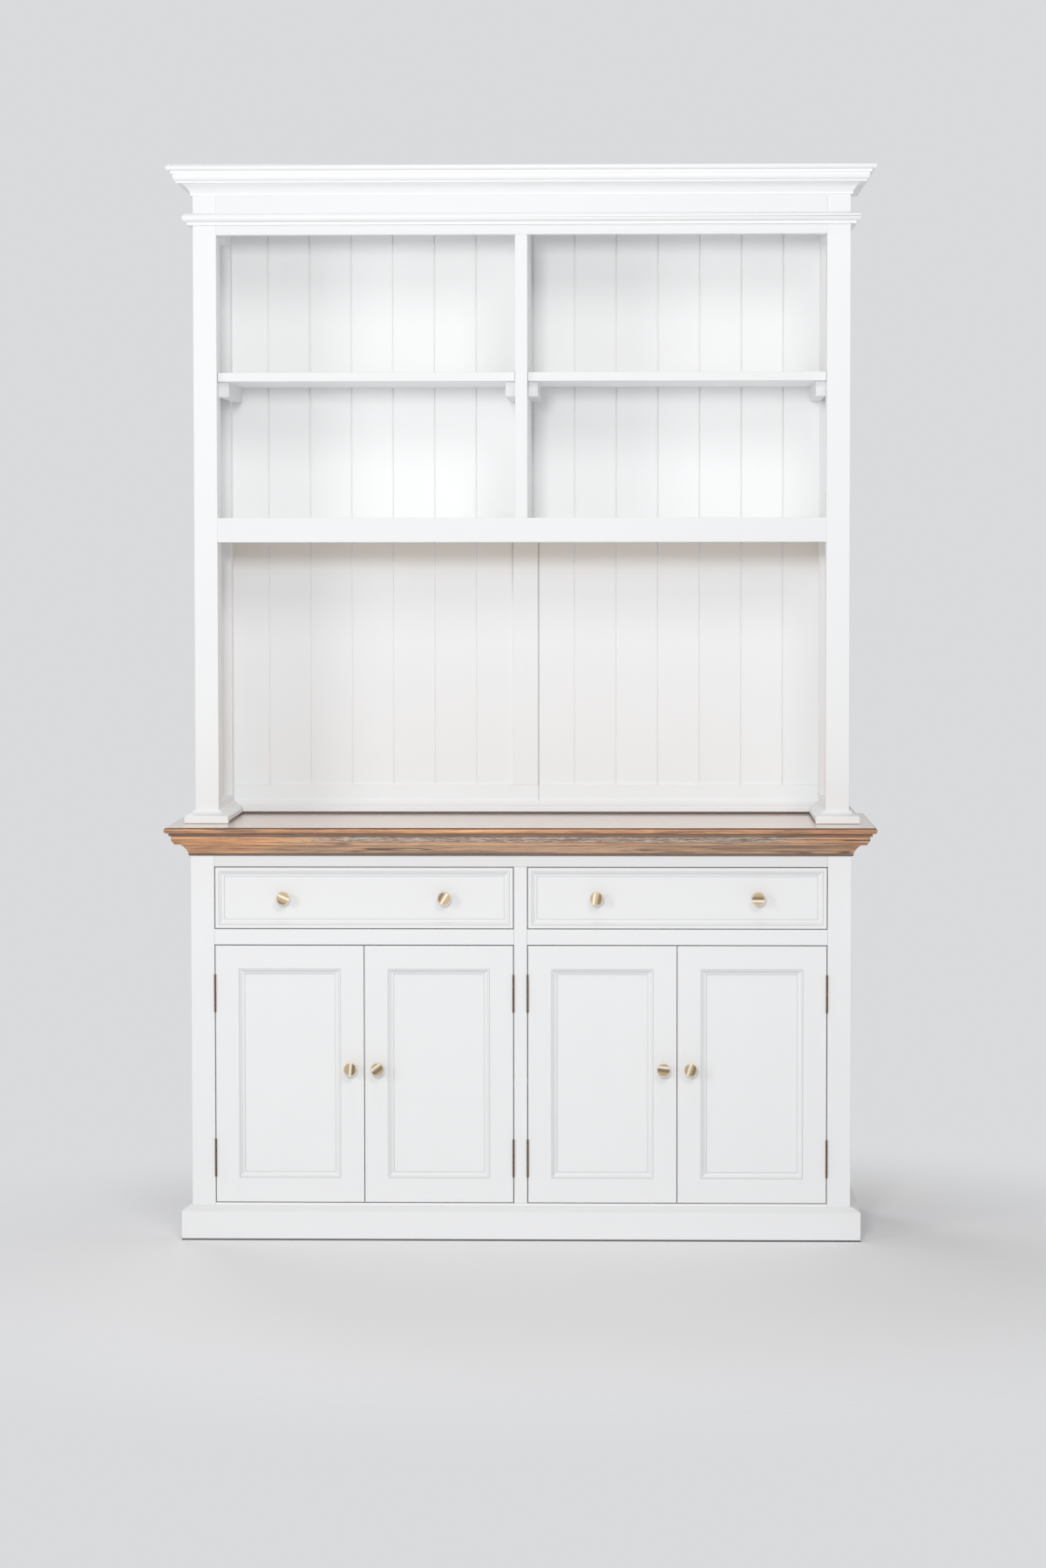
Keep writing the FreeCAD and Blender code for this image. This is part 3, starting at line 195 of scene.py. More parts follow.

# Shares of the outside paint's light, which paint shade on the upper rails, the divider and the cleats,
# and colours as red, green and blue. A pair is deep and light
UPPER_SHADE_SHARE = 0.96
CLEAT_SHADE_SHARE = 0.87
WHITE = (1, 1, 1)
PAINT_SHADE = (0.955, 0.955, 0.95)
# Painted contact shadow along the plinth's foot
CONTACT_SHADOW_BLACK = (0.03, 0.03, 0.032)
# Painted shade in the quirks of the door and drawer mouldings
QUIRK_SHADE_GREY = (0.25, 0.25, 0.26)
FADED_DEEP = (0.19, 0.11, 0.067)
WORN_DEEP = (0.13, 0.093, 0.07)
# The top's wood painted pale: partly its own colour, partly the painted sheen of a glancing reflection
TOP_WOOD_AND_SHEEN = ((0.545, 0.31, 0.172), (0.725, 0.47, 0.3))
WAXED_GRAIN = ((0.4, 0.34, 0.3), (1.2, 1.18, 1.16))
SANDED_GRAIN = ((0.8, 0.77, 0.74), (1.04, 1.03, 1.02))
PLASTIC = ((0.66, 0.66, 0.63), (0.72, 0.72, 0.7))
BOX_WOOD = (0.55, 0.36, 0.19)
BOTTOM_WOOD = (0.6, 0.42, 0.25)
RUNNER_WOOD = (0.53, 0.34, 0.18)
SHEET_WOOD = (0.56, 0.4, 0.23)
ROOM_COLOR = (0.985, 0.99, 1.0)

# The stage in metres. The floor fades out between its core and its end
FLOOR_HALF = 5
FLOOR_MIDDLE = (0.15, -0.5)
FLOOR_CORE = 0.7
FLOOR_END = 1.8
LAMP_TARGET = (0, -0.1, 1.2)
LAMPS = (  # name, size and place
    ("front", 0.5, (-0.35, -5.5, 2.1)),
    ("left", 1.4, (-3.5, -4.2, 1.9)),
    ("high", 1.4, (1.2, -5.2, 3.8)),
    ("top", 1.4, (0, -2, 5.5)),
    ("rear", 1.4, (-1.5, 3.5, 4)),
)
CAMERA_PLACE = (0.2249, -8.5954, 1.4007)
CAMERA_REACH = 200

# The camera's turns in radians, and its sensor in millimetres
CAMERA_HEADING = 0.02613
CAMERA_DIP = 0.05519
CAMERA_ROLL = -0.00102
SENSOR_WIDTH = 36


class Field:
    """A value that varies over a surface. Arithmetic on fields adds the Math nodes for it."""

    def __init__(self, graph, socket):
        self.graph = graph
        self.socket = socket

    def __add__(self, other):
        return self.graph.math("ADD", self, other)

    def __sub__(self, other):
        return self.graph.math("SUBTRACT", self, other)

    def __mul__(self, other):
        return self.graph.math("MULTIPLY", self, other)

    def __rsub__(self, other):
        return self.graph.math("SUBTRACT", other, self)

    def __abs__(self):
        return self.graph.math("ABSOLUTE", self)

    __radd__ = __add__
    __rmul__ = __mul__


class Graph:
    """A tree of shader nodes, and the ways to add to it."""

    def __init__(self, tree):
        self.tree = tree

    def add(self, kind, settings=None, sockets=None):
        """One node: its settings are set first, then the values or links of its sockets."""
        node = self.tree.nodes.new(kind)
        for name, value in (settings or {}).items():
            setattr(node, name, value)
        for name, value in (sockets or {}).items():
            self.feed(node.inputs[name], value)
        return node

    def feed(self, socket, value):
        """Links a field or a socket to a socket, or sets the socket's own value."""
        if isinstance(value, Field):
            value = value.socket
        if isinstance(value, bpy.types.NodeSocket):
            self.tree.links.new(value, socket)
        elif socket.type == "RGBA" and len(value) == 3:
            socket.default_value = (*value, 1)
        else:
            socket.default_value = value

    def math(self, operation, *values):
        """One Math node over numbers and fields."""
        node = self.add("ShaderNodeMath", {"operation": operation}, dict(enumerate(values)))
        return Field(self, node.outputs[0])

    def coordinates(self, kind):
        """The three parts of one of the texture coordinates."""
        source = self.add("ShaderNodeTexCoord").outputs[kind]
        parts = self.add("ShaderNodeSeparateXYZ", None, {"Vector": source})
        return [Field(self, parts.outputs[axis]) for axis in "XYZ"]

    def most(self, *values):
        """The greatest of some values."""
        total = values[0]
        for value in values[1:]:
            total = self.math("MAXIMUM", total, value)
        return total

    def above(self, value, limit):
        """1 where a value is above a limit, and 0 elsewhere."""
        return self.math("GREATER_THAN", value, limit)

    def below(self, value, limit):
        """1 where a value is below a limit, and 0 elsewhere."""
        return self.math("LESS_THAN", value, limit)


class Surface(Graph):
    """A material with one shader, and the ways to add what varies over it."""

    def __init__(self, name):
        self.material = bpy.data.materials.new(name)
        self.material.use_nodes = True
        super().__init__(self.material.node_tree)
        self.shader = self.tree.nodes["Principled BSDF"]

    def place(self):
        """The point on the object, in metres, as three fields."""
        return self.coordinates("Object")

    def facing(self):
        """The way that the surface faces on the piece itself, as three fields."""
        return self.coordinates("Normal")

    def vector(self, x, y, z):
        """A vector from numbers and fields."""
        return self.add("ShaderNodeCombineXYZ", None, {"X": x, "Y": y, "Z": z}).outputs[0]

    def outward(self, x, y, z):
        """A normal given on the piece itself, as one in the world, which turns with the piece."""
        turn = {"vector_type": "NORMAL", "convert_from": "OBJECT", "convert_to": "WORLD"}
        own = {"Vector": self.vector(x, y, z)}
        return self.add("ShaderNodeVectorTransform", turn, own).outputs["Vector"]

    def noise(self, place, rates, detail, roughness=0.55, start=0.0):
        """Noise with so many spots to a unit of each of a place's coordinates, started along the first."""
        first, second, third = (way * rate for way, rate in zip(place, rates))
        if start:
            first = first + start
        spread = self.vector(first, second, third)
        sockets = {"Vector": spread, "Scale": 1.0, "Detail": detail, "Roughness": roughness}
        return Field(self, self.add("ShaderNodeTexNoise", None, sockets).outputs["Fac"])

    def ramp(self, value, low, high, floor=0.0, top=1.0):
        """Goes smoothly from floor to top as the value goes from low to high."""
        reach = {"From Min": low, "From Max": high, "To Min": floor, "To Max": top}
        settings = {"interpolation_type": "SMOOTHSTEP"}
        node = self.add("ShaderNodeMapRange", settings, {"Value": value, **reach})
        return Field(self, node.outputs["Result"])

    def band(self, value, middle, core, end):
        """1 within the core round a middle value, falling smoothly to 0 at the end."""
        return self.ramp(abs(value - middle), core, end, 1.0, 0.0)

    def pick(self, share, zero, one):
        """A number between two fields."""
        sockets = {"Factor": share, "A": zero, "B": one}
        return Field(self, self.add("ShaderNodeMix", {"data_type": "FLOAT"}, sockets).outputs["Result"])

    def blend(self, share, under, over, kind="MIX"):
        """A colour between two colours."""
        node = self.add("ShaderNodeMix", {"data_type": "RGBA", "blend_type": kind})
        for socket, value in ((node.inputs[0], share), (node.inputs[6], under), (node.inputs[7], over)):
            self.feed(socket, value)
        return node.outputs[2]

    def bump(self, height, distance, normal=None):
        """Raises the surface by a share of a distance in metres, as if it faced along the normal."""
        sockets = {"Height": height, "Distance": distance}
        if normal is not None:
            sockets["Normal"] = normal
        node = self.add("ShaderNodeBump", None, sockets)
        self.feed(self.shader.inputs["Normal"], node.outputs["Normal"])

    def finish(self, **sockets):
        """Sets the shader's sockets by name, with underscores for spaces."""
        for name, value in sockets.items():
            self.feed(self.shader.inputs[name.replace("_", " ")], value)
        return self.material


def grain_axes(surface, run):
    """The point's coordinates as (along the grain, across it, across it)."""
    x, y, z = surface.place()
    return {"x": (x, y, z), "y": (y, x, z), "z": (z, x, y)}[run]


def in_boxes(surface, boxes):
    """1 inside any of the boxes, given as (low x, high x, low z, high z), and 0 outside."""
    x, _, z = surface.place()
    shares = []
    for low_x, high_x, low_z, high_z in boxes:
        inside = surface.math("COMPARE", x, (low_x + high_x) / 2, (high_x - low_x) / 2)
        level = surface.math("COMPARE", z, (low_z + high_z) / 2, (high_z - low_z) / 2)
        shares.append(inside * level)
    return surface.most(*shares)


def inward_faces(surface):
    """1 on the faces that look into the hutch, up or down, and 0 on those that look out of it."""
    x, _, _ = surface.place()
    toward_x, _, toward_z = surface.facing()
    across = surface.above(abs(toward_x), SQUARE_ON) * surface.below(toward_x * x, MIDDLE_REACH)
    return surface.most(surface.above(abs(toward_z), SQUARE_ON), across)


def joint_faces(surface):
    """1 on the slanted faces and in the gaps of a planked face's V joints, and 0 on the planks."""
    toward_x = surface.facing()[0]
    y = surface.place()[1]
    return surface.most(surface.above(abs(toward_x), SLANTED), surface.above(y, PLANK_FACE + JOINT_DEPTH))


def filled_joints(surface):
    """The normal of a planked face with its V joints filled by paint, so that they catch the light."""
    toward_x, toward_y, toward_z = surface.facing()
    slanted = surface.above(abs(toward_x), SLANTED) * surface.below(toward_y, -SLANTED)
    level = 1.0 - slanted
    return surface.outward(toward_x * level, toward_y * level - slanted, toward_z)


def white_paint(name, run, looks, color, inner=None, boxes=None, boards=None, layer=None):
    """Satin paint over close-grained wood.

    Faces that look into the hutch, up or down take the inner colour, where there is one: a lighter or darker
    copy of the paint, as painted light or painted shade. In the boxes the grain runs across. Boards, given
    as their pitch and first edge, each have their own grain, and their V joints are painted pure white, a
    painted light against the shade in the joints. The layer is a function that gives the paint with
    something over it.
    """
    surface = Surface(name)
    x, y, z = surface.place()
    along, side, depth = grain_axes(surface, run)
    if boxes:
        turned = in_boxes(surface, boxes)
        along, side = surface.pick(turned, along, side), surface.pick(turned, side, along)
    own = 0.0
    if boards:
        pitch, first = boards
        index = surface.math("FLOOR", surface.math("DIVIDE", x - first, pitch))
        chance = surface.add("ShaderNodeTexWhiteNoise", {"noise_dimensions": "1D"}, {"W": index})
        own = Field(surface, chance.outputs[0])
        along = along + own * 3.0
    fibre = surface.noise((along, side, depth), (5, 260, 260), 4, 0.6)
    figure = surface.noise((along, side, depth), (1.6, 26, 26), 3)
    cloud = surface.noise((x, y, z), (2.2, 2.2, 2.2), 2)
    peel = surface.noise((x, y, z), (420, 420, 420), 1)
    tone = fibre * 0.016 + figure * 0.022 + cloud * 0.03 + own * 0.01
    # Painted light or shade: inward faces take a lighter or darker copy of the paint
    paint = color if inner is None else surface.blend(inward_faces(surface), color, inner)
    shade = surface.blend(surface.ramp(tone, 0.0, 0.084), PAINT_SHADE, WHITE)
    paint = surface.blend(1.0, paint, shade, "MULTIPLY")
    if layer:
        paint = layer(surface, paint, looks)
    rough = looks.paint_roughness + (figure - 0.5) * 0.12 + (peel - 0.5) * 0.06
    normal = None
    if boards:
        # Painted light: the faces of the V joints are painted pure white against the shade in the joints
        paint = surface.blend(joint_faces(surface), paint, WHITE)
        normal = filled_joints(surface)
    surface.bump(fibre * 0.55 + figure * 0.3 + peel * 0.15, looks.grain_depth, normal)
    return surface.finish(Base_Color=paint, Roughness=rough, Specular_IOR_Level=0.42)


def front_paint(low, high, field_low, field_high):
    """A layer for a door or a drawer front, given its own box and that of the field its moulding lies in.

    The edges in the gaps take painted shade, and so do the moulding's faces that look down. A thin line of
    painted shade lies in the quirk on each side of the moulding.
    """
    middle, half = (low + high) / 2, (high - low) / 2
    field_middle, field_half = (field_low + field_high) / 2, (field_high - field_low) / 2

    def layer(surface, paint, looks):
        x, y, z = surface.place()
        toward_x, _, toward_z = surface.facing()
        # Painted shade on the edges in the gaps, and on the moulding's faces that look down
        side = surface.above(abs(toward_x), SQUARE_ON) * surface.above(abs(x - middle.x), half.x - GAP_EDGE)
        end = surface.above(abs(toward_z), SQUARE_ON) * surface.above(abs(z - middle.z), half.z - GAP_EDGE)
        under = surface.below(toward_z, UNDERCUT) * surface.above(toward_z, LEVEL_UNDERSIDE)
        from_side = field_half.x - abs(x - field_middle.x)
        inset = surface.math("MINIMUM", from_side, field_half.z - abs(z - field_middle.z))
        outer = surface.band(inset, 0.0, QUIRK_CORE, QUIRK_EDGE)
        inner = surface.band(inset, MOULDING_WIDTH, QUIRK_CORE, QUIRK_EDGE)
        # Painted shade: thin grey lines in the quirks on each side of the moulding
        quirks = surface.most(outer, inner * 0.8) * surface.below(y, middle.y)
        paint = surface.blend(quirks * 0.4, paint, QUIRK_SHADE_GREY)
        return surface.blend(surface.most(side, end, under * 0.5), paint, looks.gap_shade_color)

    return layer


def plinth_contact_shadow(surface, paint, looks):
    """A painted contact shadow: a dark line along the plinth's foot, where it meets the floor."""
    z = surface.place()[2]
    return surface.blend(surface.below(z, PLINTH_SHADOW_HEIGHT) * 0.95, paint, CONTACT_SHADOW_BLACK)


def shoe_shadow_line(surface, paint, looks):
    """A painted shadow line between the counter and the shoe, thin along the front of the feet."""
    _, y, z = surface.place()
    shoe_shadow_height = surface.ramp(y, HUTCH_FACE, HUTCH_FACE + SHOE_SHADOW_RUN, SHOE_SHADOW_FRONT, SHOE_SHADOW_BACK)
    return surface.blend(surface.below(z - COUNTER_TOP, shoe_shadow_height), paint, looks.shadow_line_color)


def open_bay_painted_shade(surface, paint, looks):
    """Paint on the back of the open bay with painted shade and tints, and painted shadow lines by the
    muntin.

    The right shadow line is whole, and the left one shows only high up.
    """
    x, _, z = surface.place()
    low = surface.below(z, OPEN_BAY_TOP)
    # Painted light and shade: a cool tint near the counter against its warm bounced light, a dimmer cool
    # tint above, and a warm painted shade close under the rail
    rise = surface.ramp(z, COUNTER_TOP, OPEN_BAY_TOP - BAY_TONE_TOP)
    tone = surface.blend(rise, looks.bay_foot_light_tint, looks.bay_shade_tint)
    shade = surface.ramp(z, OPEN_BAY_TOP - BAY_SHADE_FOOT, OPEN_BAY_TOP - BAY_SHADE_TOP)
    tone = surface.blend(shade, tone, looks.bay_shade_color)
    paint = surface.blend(low, paint, surface.blend(1.0, paint, tone, "MULTIPLY"))
    # Painted shadow beside the muntin
    line = surface.band(abs(x), MUNTIN_HALF + MUNTIN_SHADOW_OFFSET, MUNTIN_SHADOW_CORE, MUNTIN_SHADOW_EDGE)
    high = surface.ramp(z, OPEN_BAY_TOP - MUNTIN_SHADOW_FOOT, OPEN_BAY_TOP - MUNTIN_SHADOW_TOP)
    painted_shadows = line * low * surface.most(surface.above(x, 0.0), high) * 0.35
    return surface.blend(painted_shadows, paint, looks.shadow_line_color)


def moulding_wear(surface, x, z, crown, drift):
    """How dull and how worn the counter's moulding is, each from 0 to 1."""
    dull_reach = surface.ramp(abs(x - DULL_MIDDLE) + drift * 0.6, DULL_CORE, DULL_END, 0.85, 0.25)
    dull_level = surface.ramp(z + drift * 0.008, CROWN_FOOT + DULL_FOOT, CROWN_FOOT + DULL_TOP, 1.0, 0.3)
    worn_reach = surface.ramp(abs(x - WORN_MIDDLE) + drift * 0.5, WORN_CORE, WORN_END, 1.0, 0.0)
    worn_level = surface.ramp(z + drift * 0.01, CROWN_FOOT + WORN_FOOT, CROWN_FOOT + WORN_TOP)
    return crown * dull_reach * dull_level, crown * worn_reach * worn_level


def quirk_stain_and_shade(surface, z):
    """1 where the counter darkens, partly staining and partly painted shade: at its foot, under its board
    and along its top edge.
    """
    foot = surface.ramp(z, CROWN_FOOT + STAIN_SHADE_FOOT_CORE, CROWN_FOOT + STAIN_SHADE_FOOT_END, 1.0, 0.0)
    quirk = surface.band(z, COUNTER_UNDERSIDE + STAIN_SHADE_QUIRK, STAIN_SHADE_QUIRK_CORE, STAIN_SHADE_QUIRK_END)
    edge = surface.band(z, COUNTER_TOP - STAIN_SHADE_EDGE, STAIN_SHADE_EDGE_CORE, STAIN_SHADE_EDGE_END)
    return surface.most(foot * 0.9, quirk * 0.85, edge * 0.9)


def counter_finish(name, looks):
    """Waxed brown wood with long dark grain, and a worn grey stretch with open pores along its moulding."""
    surface = Surface(name)
    x, y, z = surface.place()
    crown = surface.below(z, COUNTER_UNDERSIDE)
    turned = surface.above(abs(x) - HALF_WIDTH, BASE_FACE - y) * crown
    along, side = surface.pick(turned, x, y), surface.pick(turned, y, x)
    sway = surface.noise((along, side, z), (1.7, 8, 10), 3) - 0.5
    drift = surface.noise((along, side, z), (2.6, 3, 60), 3, start=3.1) - 0.5
    across, up = side + sway * 0.024, z + sway * 0.016
    fibre = surface.noise((along, across, up), (10, 380, 380), 5, 0.65)
    figure = surface.noise((along, across, up), (1.6, 34, 70), 4, 0.6)
    rings = surface.noise((along, across, up), (1.3, 48, 60), 3, 0.5, start=7.3)
    pores = surface.noise((along, across, up), (60, 760, 760), 3, 0.6)
    streak = surface.noise((along, across, up), (16, 150, 240), 3, 0.7)
    grain = surface.ramp(fibre * 0.55 + streak * 0.45, 0.36, 0.6)
    fine = surface.blend(grain, *WAXED_GRAIN)
    dull, worn = moulding_wear(surface, x, z, crown, drift)

    wood = surface.blend(surface.ramp(figure, 0.3, 0.64), looks.wood_deep, looks.wood_light)
    wood = surface.blend(0.9, wood, fine, "MULTIPLY")
    faded = surface.blend(surface.ramp(figure, 0.3, 0.62), FADED_DEEP, looks.wood_faded)
    faded = surface.blend(0.6, faded, fine, "MULTIPLY")
    wood = surface.blend(dull, wood, faded)
    speckle = surface.ramp(pores + fibre * 0.4, 0.6, 0.84)
    wood = surface.blend(worn * 0.9, wood, surface.blend(speckle, WORN_DEEP, looks.wood_worn))
    ring = surface.band(rings, 0.5, 0.005, 0.022) * surface.ramp(figure, 0.36, 0.5)
    wood = surface.blend(ring * (1.0 - worn) * 0.85, wood, looks.wood_grain_and_quirk_shade)
    # Partly staining and partly painted shade in the counter's quirks
    stain_and_shade = quirk_stain_and_shade(surface, z) * (0.8 + fibre * 0.4)
    wood = surface.blend(stain_and_shade, wood, looks.wood_grain_and_quirk_shade)

    # Painted sheen: the top painted pale, partly its own colour and partly the sheen of a glancing
    # reflection
    top = surface.above(z, COUNTER_TOP - TOP_DEPTH)
    top_sheen_reach = surface.ramp(abs(x), TOP_SHEEN_CORE, TOP_SHEEN_END, 0.85, 0.55)
    wood = surface.blend(top * top_sheen_reach, wood, surface.blend(fibre, *TOP_WOOD_AND_SHEEN))
    rough = 0.36 + surface.ramp(fibre, 0.3, 0.7, 0.1, 0.0) + worn * 0.16
    surface.bump(fibre * 0.5 + speckle * worn * 0.6 - ring * 0.5, WAXED_DEPTH)
    surface.finish(Coat_Roughness=0.14, Coat_IOR=1.5, Specular_IOR_Level=0.5)
    return surface.finish(Base_Color=wood, Roughness=rough, Coat_Weight=top * 0.9)


def bare_wood(name, run, color, back=None):
    """Sanded pale wood without a finish. Its grain runs across in the boards behind the back plane."""
    surface = Surface(name)
    along, side, depth = grain_axes(surface, run)
    if back is not None:
        x, y, _ = surface.place()
        turned = surface.above(y, back)
        along, side = surface.pick(turned, along, x), surface.pick(turned, side, y)
    sway = surface.noise((along, side, depth), (1.8, 9, 9), 2) - 0.5
    fibre = surface.noise((along, side, depth), (8, 300, 300), 4, 0.6)
    figure = surface.noise((along, side + sway * 0.03, depth), (1.3, 40, 40), 3)
    body = surface.blend(surface.ramp(figure, 0.32, 0.66), shaded(color, 0.62), color)
    fine = surface.blend(surface.ramp(fibre, 0.3, 0.7), *SANDED_GRAIN)
    body = surface.blend(0.8, body, fine, "MULTIPLY")
    surface.bump(fibre, SANDED_DEPTH)
    rough = 0.62 + (fibre - 0.5) * 0.2
    return surface.finish(Base_Color=body, Roughness=rough, Specular_IOR_Level=0.3)


def flat_front(surface, middle):
    """The normal of a turned face that is all but flat, without the point at its middle."""
    toward_x, toward_y, toward_z = surface.facing()
    flat = surface.most(surface.below(toward_y, FLAT_FRONT), middle * surface.below(toward_y, 0.0))
    level = 1.0 - flat
    return surface.outward(toward_x * level, toward_y * level - flat, toward_z * level)


def knob_measures(surface, centre_x, centre_z, radius, turn, light, dark):
    """How far a point lies across a knob from its middle and its two painted reflection bands, and how far
    out, in radii.
    """
    x, _, z = surface.place()
    off_x, off_z = x - centre_x, z - centre_z
    slope = math.radians(turn)
    across = (off_z * math.cos(slope) - off_x * math.sin(slope)) * (1 / radius)
    reach = surface.math("SQRT", off_x * off_x + off_z * off_z) * (1 / radius)
    return across, across - light, across - dark, reach


def brushed_brass(name, knobs, looks):
    """Brass brushed straight across, with painted highlight and dark reflection bands and a painted
    highlight on the rim. Each knob sits at its own turn, and its painted bands turn with it.

    A knob is given as its middle's x and z, its radius, the turn of its brushing in degrees, and how far
    across it its painted highlight band and its painted dark reflection band lie, in radii.
    """
    surface = Surface(name)
    x, _, z = surface.place()
    measures = knob_measures(surface, *knobs[0])
    for knob in knobs[1:]:
        centre_x, _, radius = knob[:3]
        beyond = surface.above(x, centre_x - KNOB_REACH * radius)
        pairs = zip(measures, knob_measures(surface, *knob))
        measures = [surface.pick(beyond, *pair) for pair in pairs]
    across, from_highlight_band, from_dark_band, reach = measures
    brush = surface.noise((across, x, z), (22, 40, 40), 3, 0.6)
    sway = (surface.noise((across, x, z), (3, 30, 30), 1) - 0.5) * 0.5
    # Painted reflection: a dark band and a highlight band across each knob, and a painted highlight round
    # the rim
    dark_reflection_share = surface.ramp(abs(from_dark_band + sway * 0.4), 0.08, 0.42, 0.85, 0.0)
    highlight_share = surface.ramp(abs(from_highlight_band + sway * 0.4), 0.04, 0.26, 0.9, 0.0)
    streaks = surface.ramp(brush, 0.3, 0.7, 0.3, 0.0)
    color = surface.blend(streaks, looks.brass_middle, looks.brass_streaks_and_dark_reflection)
    color = surface.blend(dark_reflection_share, color, looks.brass_streaks_and_dark_reflection)
    rim_highlight_share = surface.ramp(reach, 0.84, 0.92, 0.0, 0.75)
    color = surface.blend(surface.most(highlight_share, rim_highlight_share), color, looks.brass_painted_highlight)
    surface.bump(brush, BRUSHED_DEPTH, flat_front(surface, surface.below(reach, 0.2)))
    rough = looks.brass_roughness + (brush - 0.5) * 0.16
    return surface.finish(Base_Color=color, Metallic=1.0, Roughness=rough)


def antique_bronze(name, looks):
    """Dark bronze with brown bloom and rubbed patches."""
    surface = Surface(name)
    x, y, z = surface.place()
    bloom = surface.noise((x, y, z), (160, 160, 160), 4, 0.6)
    rubbed = surface.ramp(bloom, 0.52, 0.72)
    color = surface.blend(rubbed, looks.bronze_dark, looks.bronze_rubbed)
    surface.bump(bloom, BLOOM_DEPTH)
    return surface.finish(Base_Color=color, Metallic=0.8, Roughness=0.5 + (bloom - 0.5) * 0.3)


def moulded_plastic(name):
    """Matt off-white plastic with a fine spark-eroded texture."""
    surface = Surface(name)
    x, y, z = surface.place()
    fine = surface.noise((x, y, z), (1500, 1500, 1500), 2)
    color = surface.blend(surface.ramp(fine, 0.3, 0.7), *PLASTIC)
    surface.bump(fine, SPARK_DEPTH)
    return surface.finish(Base_Color=color, Roughness=0.5 + (fine - 0.5) * 0.2)


def dress(node, material, ease=0.0):
    """Gives a node its finish, and eases its sharp edges by a radius in metres."""
    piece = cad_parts[node]
    for slot in piece.material_slots:
        slot.material = material
    if ease > 0.0:
        join = piece.modifiers.new("Join faces", "WELD")
        join.merge_threshold = MERGE_DISTANCE
        round_over = piece.modifiers.new("Eased edges", "BEVEL")
        round_over.width = ease
        round_over.segments = 2
        round_over.limit_method = "ANGLE"
        round_over.angle_limit = math.radians(SHARP_ANGLE)
        round_over.harden_normals = True


class PaintLooks(bpy.types.PropertyGroup):
    """The painted framing, doors and drawer fronts."""

    paint_color: FloatVectorProperty(
        name="Outside paint", description="Colour of the framing, doors and drawer fronts",
        subtype="COLOR", size=3, min=0, max=1, default=(0.848, 0.853, 0.86),
    )
    # Painted light: the outside paint made lighter, for the brighter light on the back, the shelves and the
    # inner sides
    inside_lit_color: FloatVectorProperty(
        name="Inside paint", description="Colour of the planked back, the shelves and the inner sides",
        subtype="COLOR", size=3, min=0, max=1, default=(0.95, 0.953, 0.957),
    )
    # Painted light: the outside paint made lighter, for the brighter light on the cornice, neck and shoe
    moulding_lit_color: FloatVectorProperty(
        name="Moulding paint", description="Colour of the cornice, neck and shoe",
        subtype="COLOR", size=3, min=0, max=1, default=(0.905, 0.91, 0.917),
    )
    # Painted shade: the open bay's back dimmed and cooled against the warm light bounced from the counter
    bay_shade_tint: FloatVectorProperty(
        name="Open bay", description="Tint of the back of the open bay",
        subtype="COLOR", size=3, min=0, max=1, default=(0.925, 0.94, 0.955),
    )
    # Painted shade on the open bay's back close under the rail
    bay_shade_color: FloatVectorProperty(
        name="Open bay's shade", description="Tint of the open bay's back close under the rail",
        subtype="COLOR", size=3, min=0, max=1, default=(0.85, 0.79, 0.71),
    )
    # Painted light: a cool tint near the counter, against the warm light bounced from it
    bay_foot_light_tint: FloatVectorProperty(
        name="Open bay's foot", description="Tint of the open bay's back close above the counter",
        subtype="COLOR", size=3, min=0, max=1, default=(0.944, 0.982, 1.0),
    )
    # Painted shade on the edges in the gaps round the doors and drawers, and on the face frame's reveals
    gap_shade_color: FloatVectorProperty(
        name="Gaps", description="Colour of the edges in the gaps round the doors and drawers",
        subtype="COLOR", size=3, min=0, max=1, default=(0.6, 0.6, 0.61),
    )
    # Painted shadow: the dark lines under the shoe and beside the muntin
    shadow_line_color: FloatVectorProperty(
        name="Seams", description="Colour of the dark seams under the shoe and beside the muntin",
        subtype="COLOR", size=3, min=0, max=1, default=(0.02, 0.011, 0.007),
    )
    paint_roughness: FloatProperty(
        name="Sheen", description="Roughness of the satin paint",
        subtype="FACTOR", min=0, max=1, default=0.44,
    )
    grain_depth: FloatProperty(
        name="Grain depth", description="How deep the wood's grain shows in the paint",
        unit="LENGTH", min=0, default=0.00007,
    )
    edge_radius: FloatProperty(
        name="Eased edge", description="Width of the sanded edge on each board",
        unit="LENGTH", min=0, default=0.0009,
    )


class CounterLooks(bpy.types.PropertyGroup):
    """The wooden counter and its moulding."""

    wood_light: FloatVectorProperty(
        name="Light wood", description="Colour between the grain lines",
        subtype="COLOR", size=3, min=0, max=1, default=(0.84, 0.355, 0.12),
    )
    wood_deep: FloatVectorProperty(
        name="Deep wood", description="Colour of the darker growth",
        subtype="COLOR", size=3, min=0, max=1, default=(0.36, 0.135, 0.05),
    )
    wood_faded: FloatVectorProperty(
        name="Faded wood", description="Colour of the duller wood along the cove",
        subtype="COLOR", size=3, min=0, max=1, default=(0.54, 0.32, 0.185),
    )
    wood_worn: FloatVectorProperty(
        name="Worn wood", description="Colour of the weathered stretch",
        subtype="COLOR", size=3, min=0, max=1, default=(0.5, 0.425, 0.34),
    )
    # Also the dark of the counter's quirks, partly staining and partly painted shade
    wood_grain_and_quirk_shade: FloatVectorProperty(
        name="Grain lines", description="Colour of the grain lines and the stain in the quirks",
        subtype="COLOR", size=3, min=0, max=1, default=(0.034, 0.018, 0.011),
    )


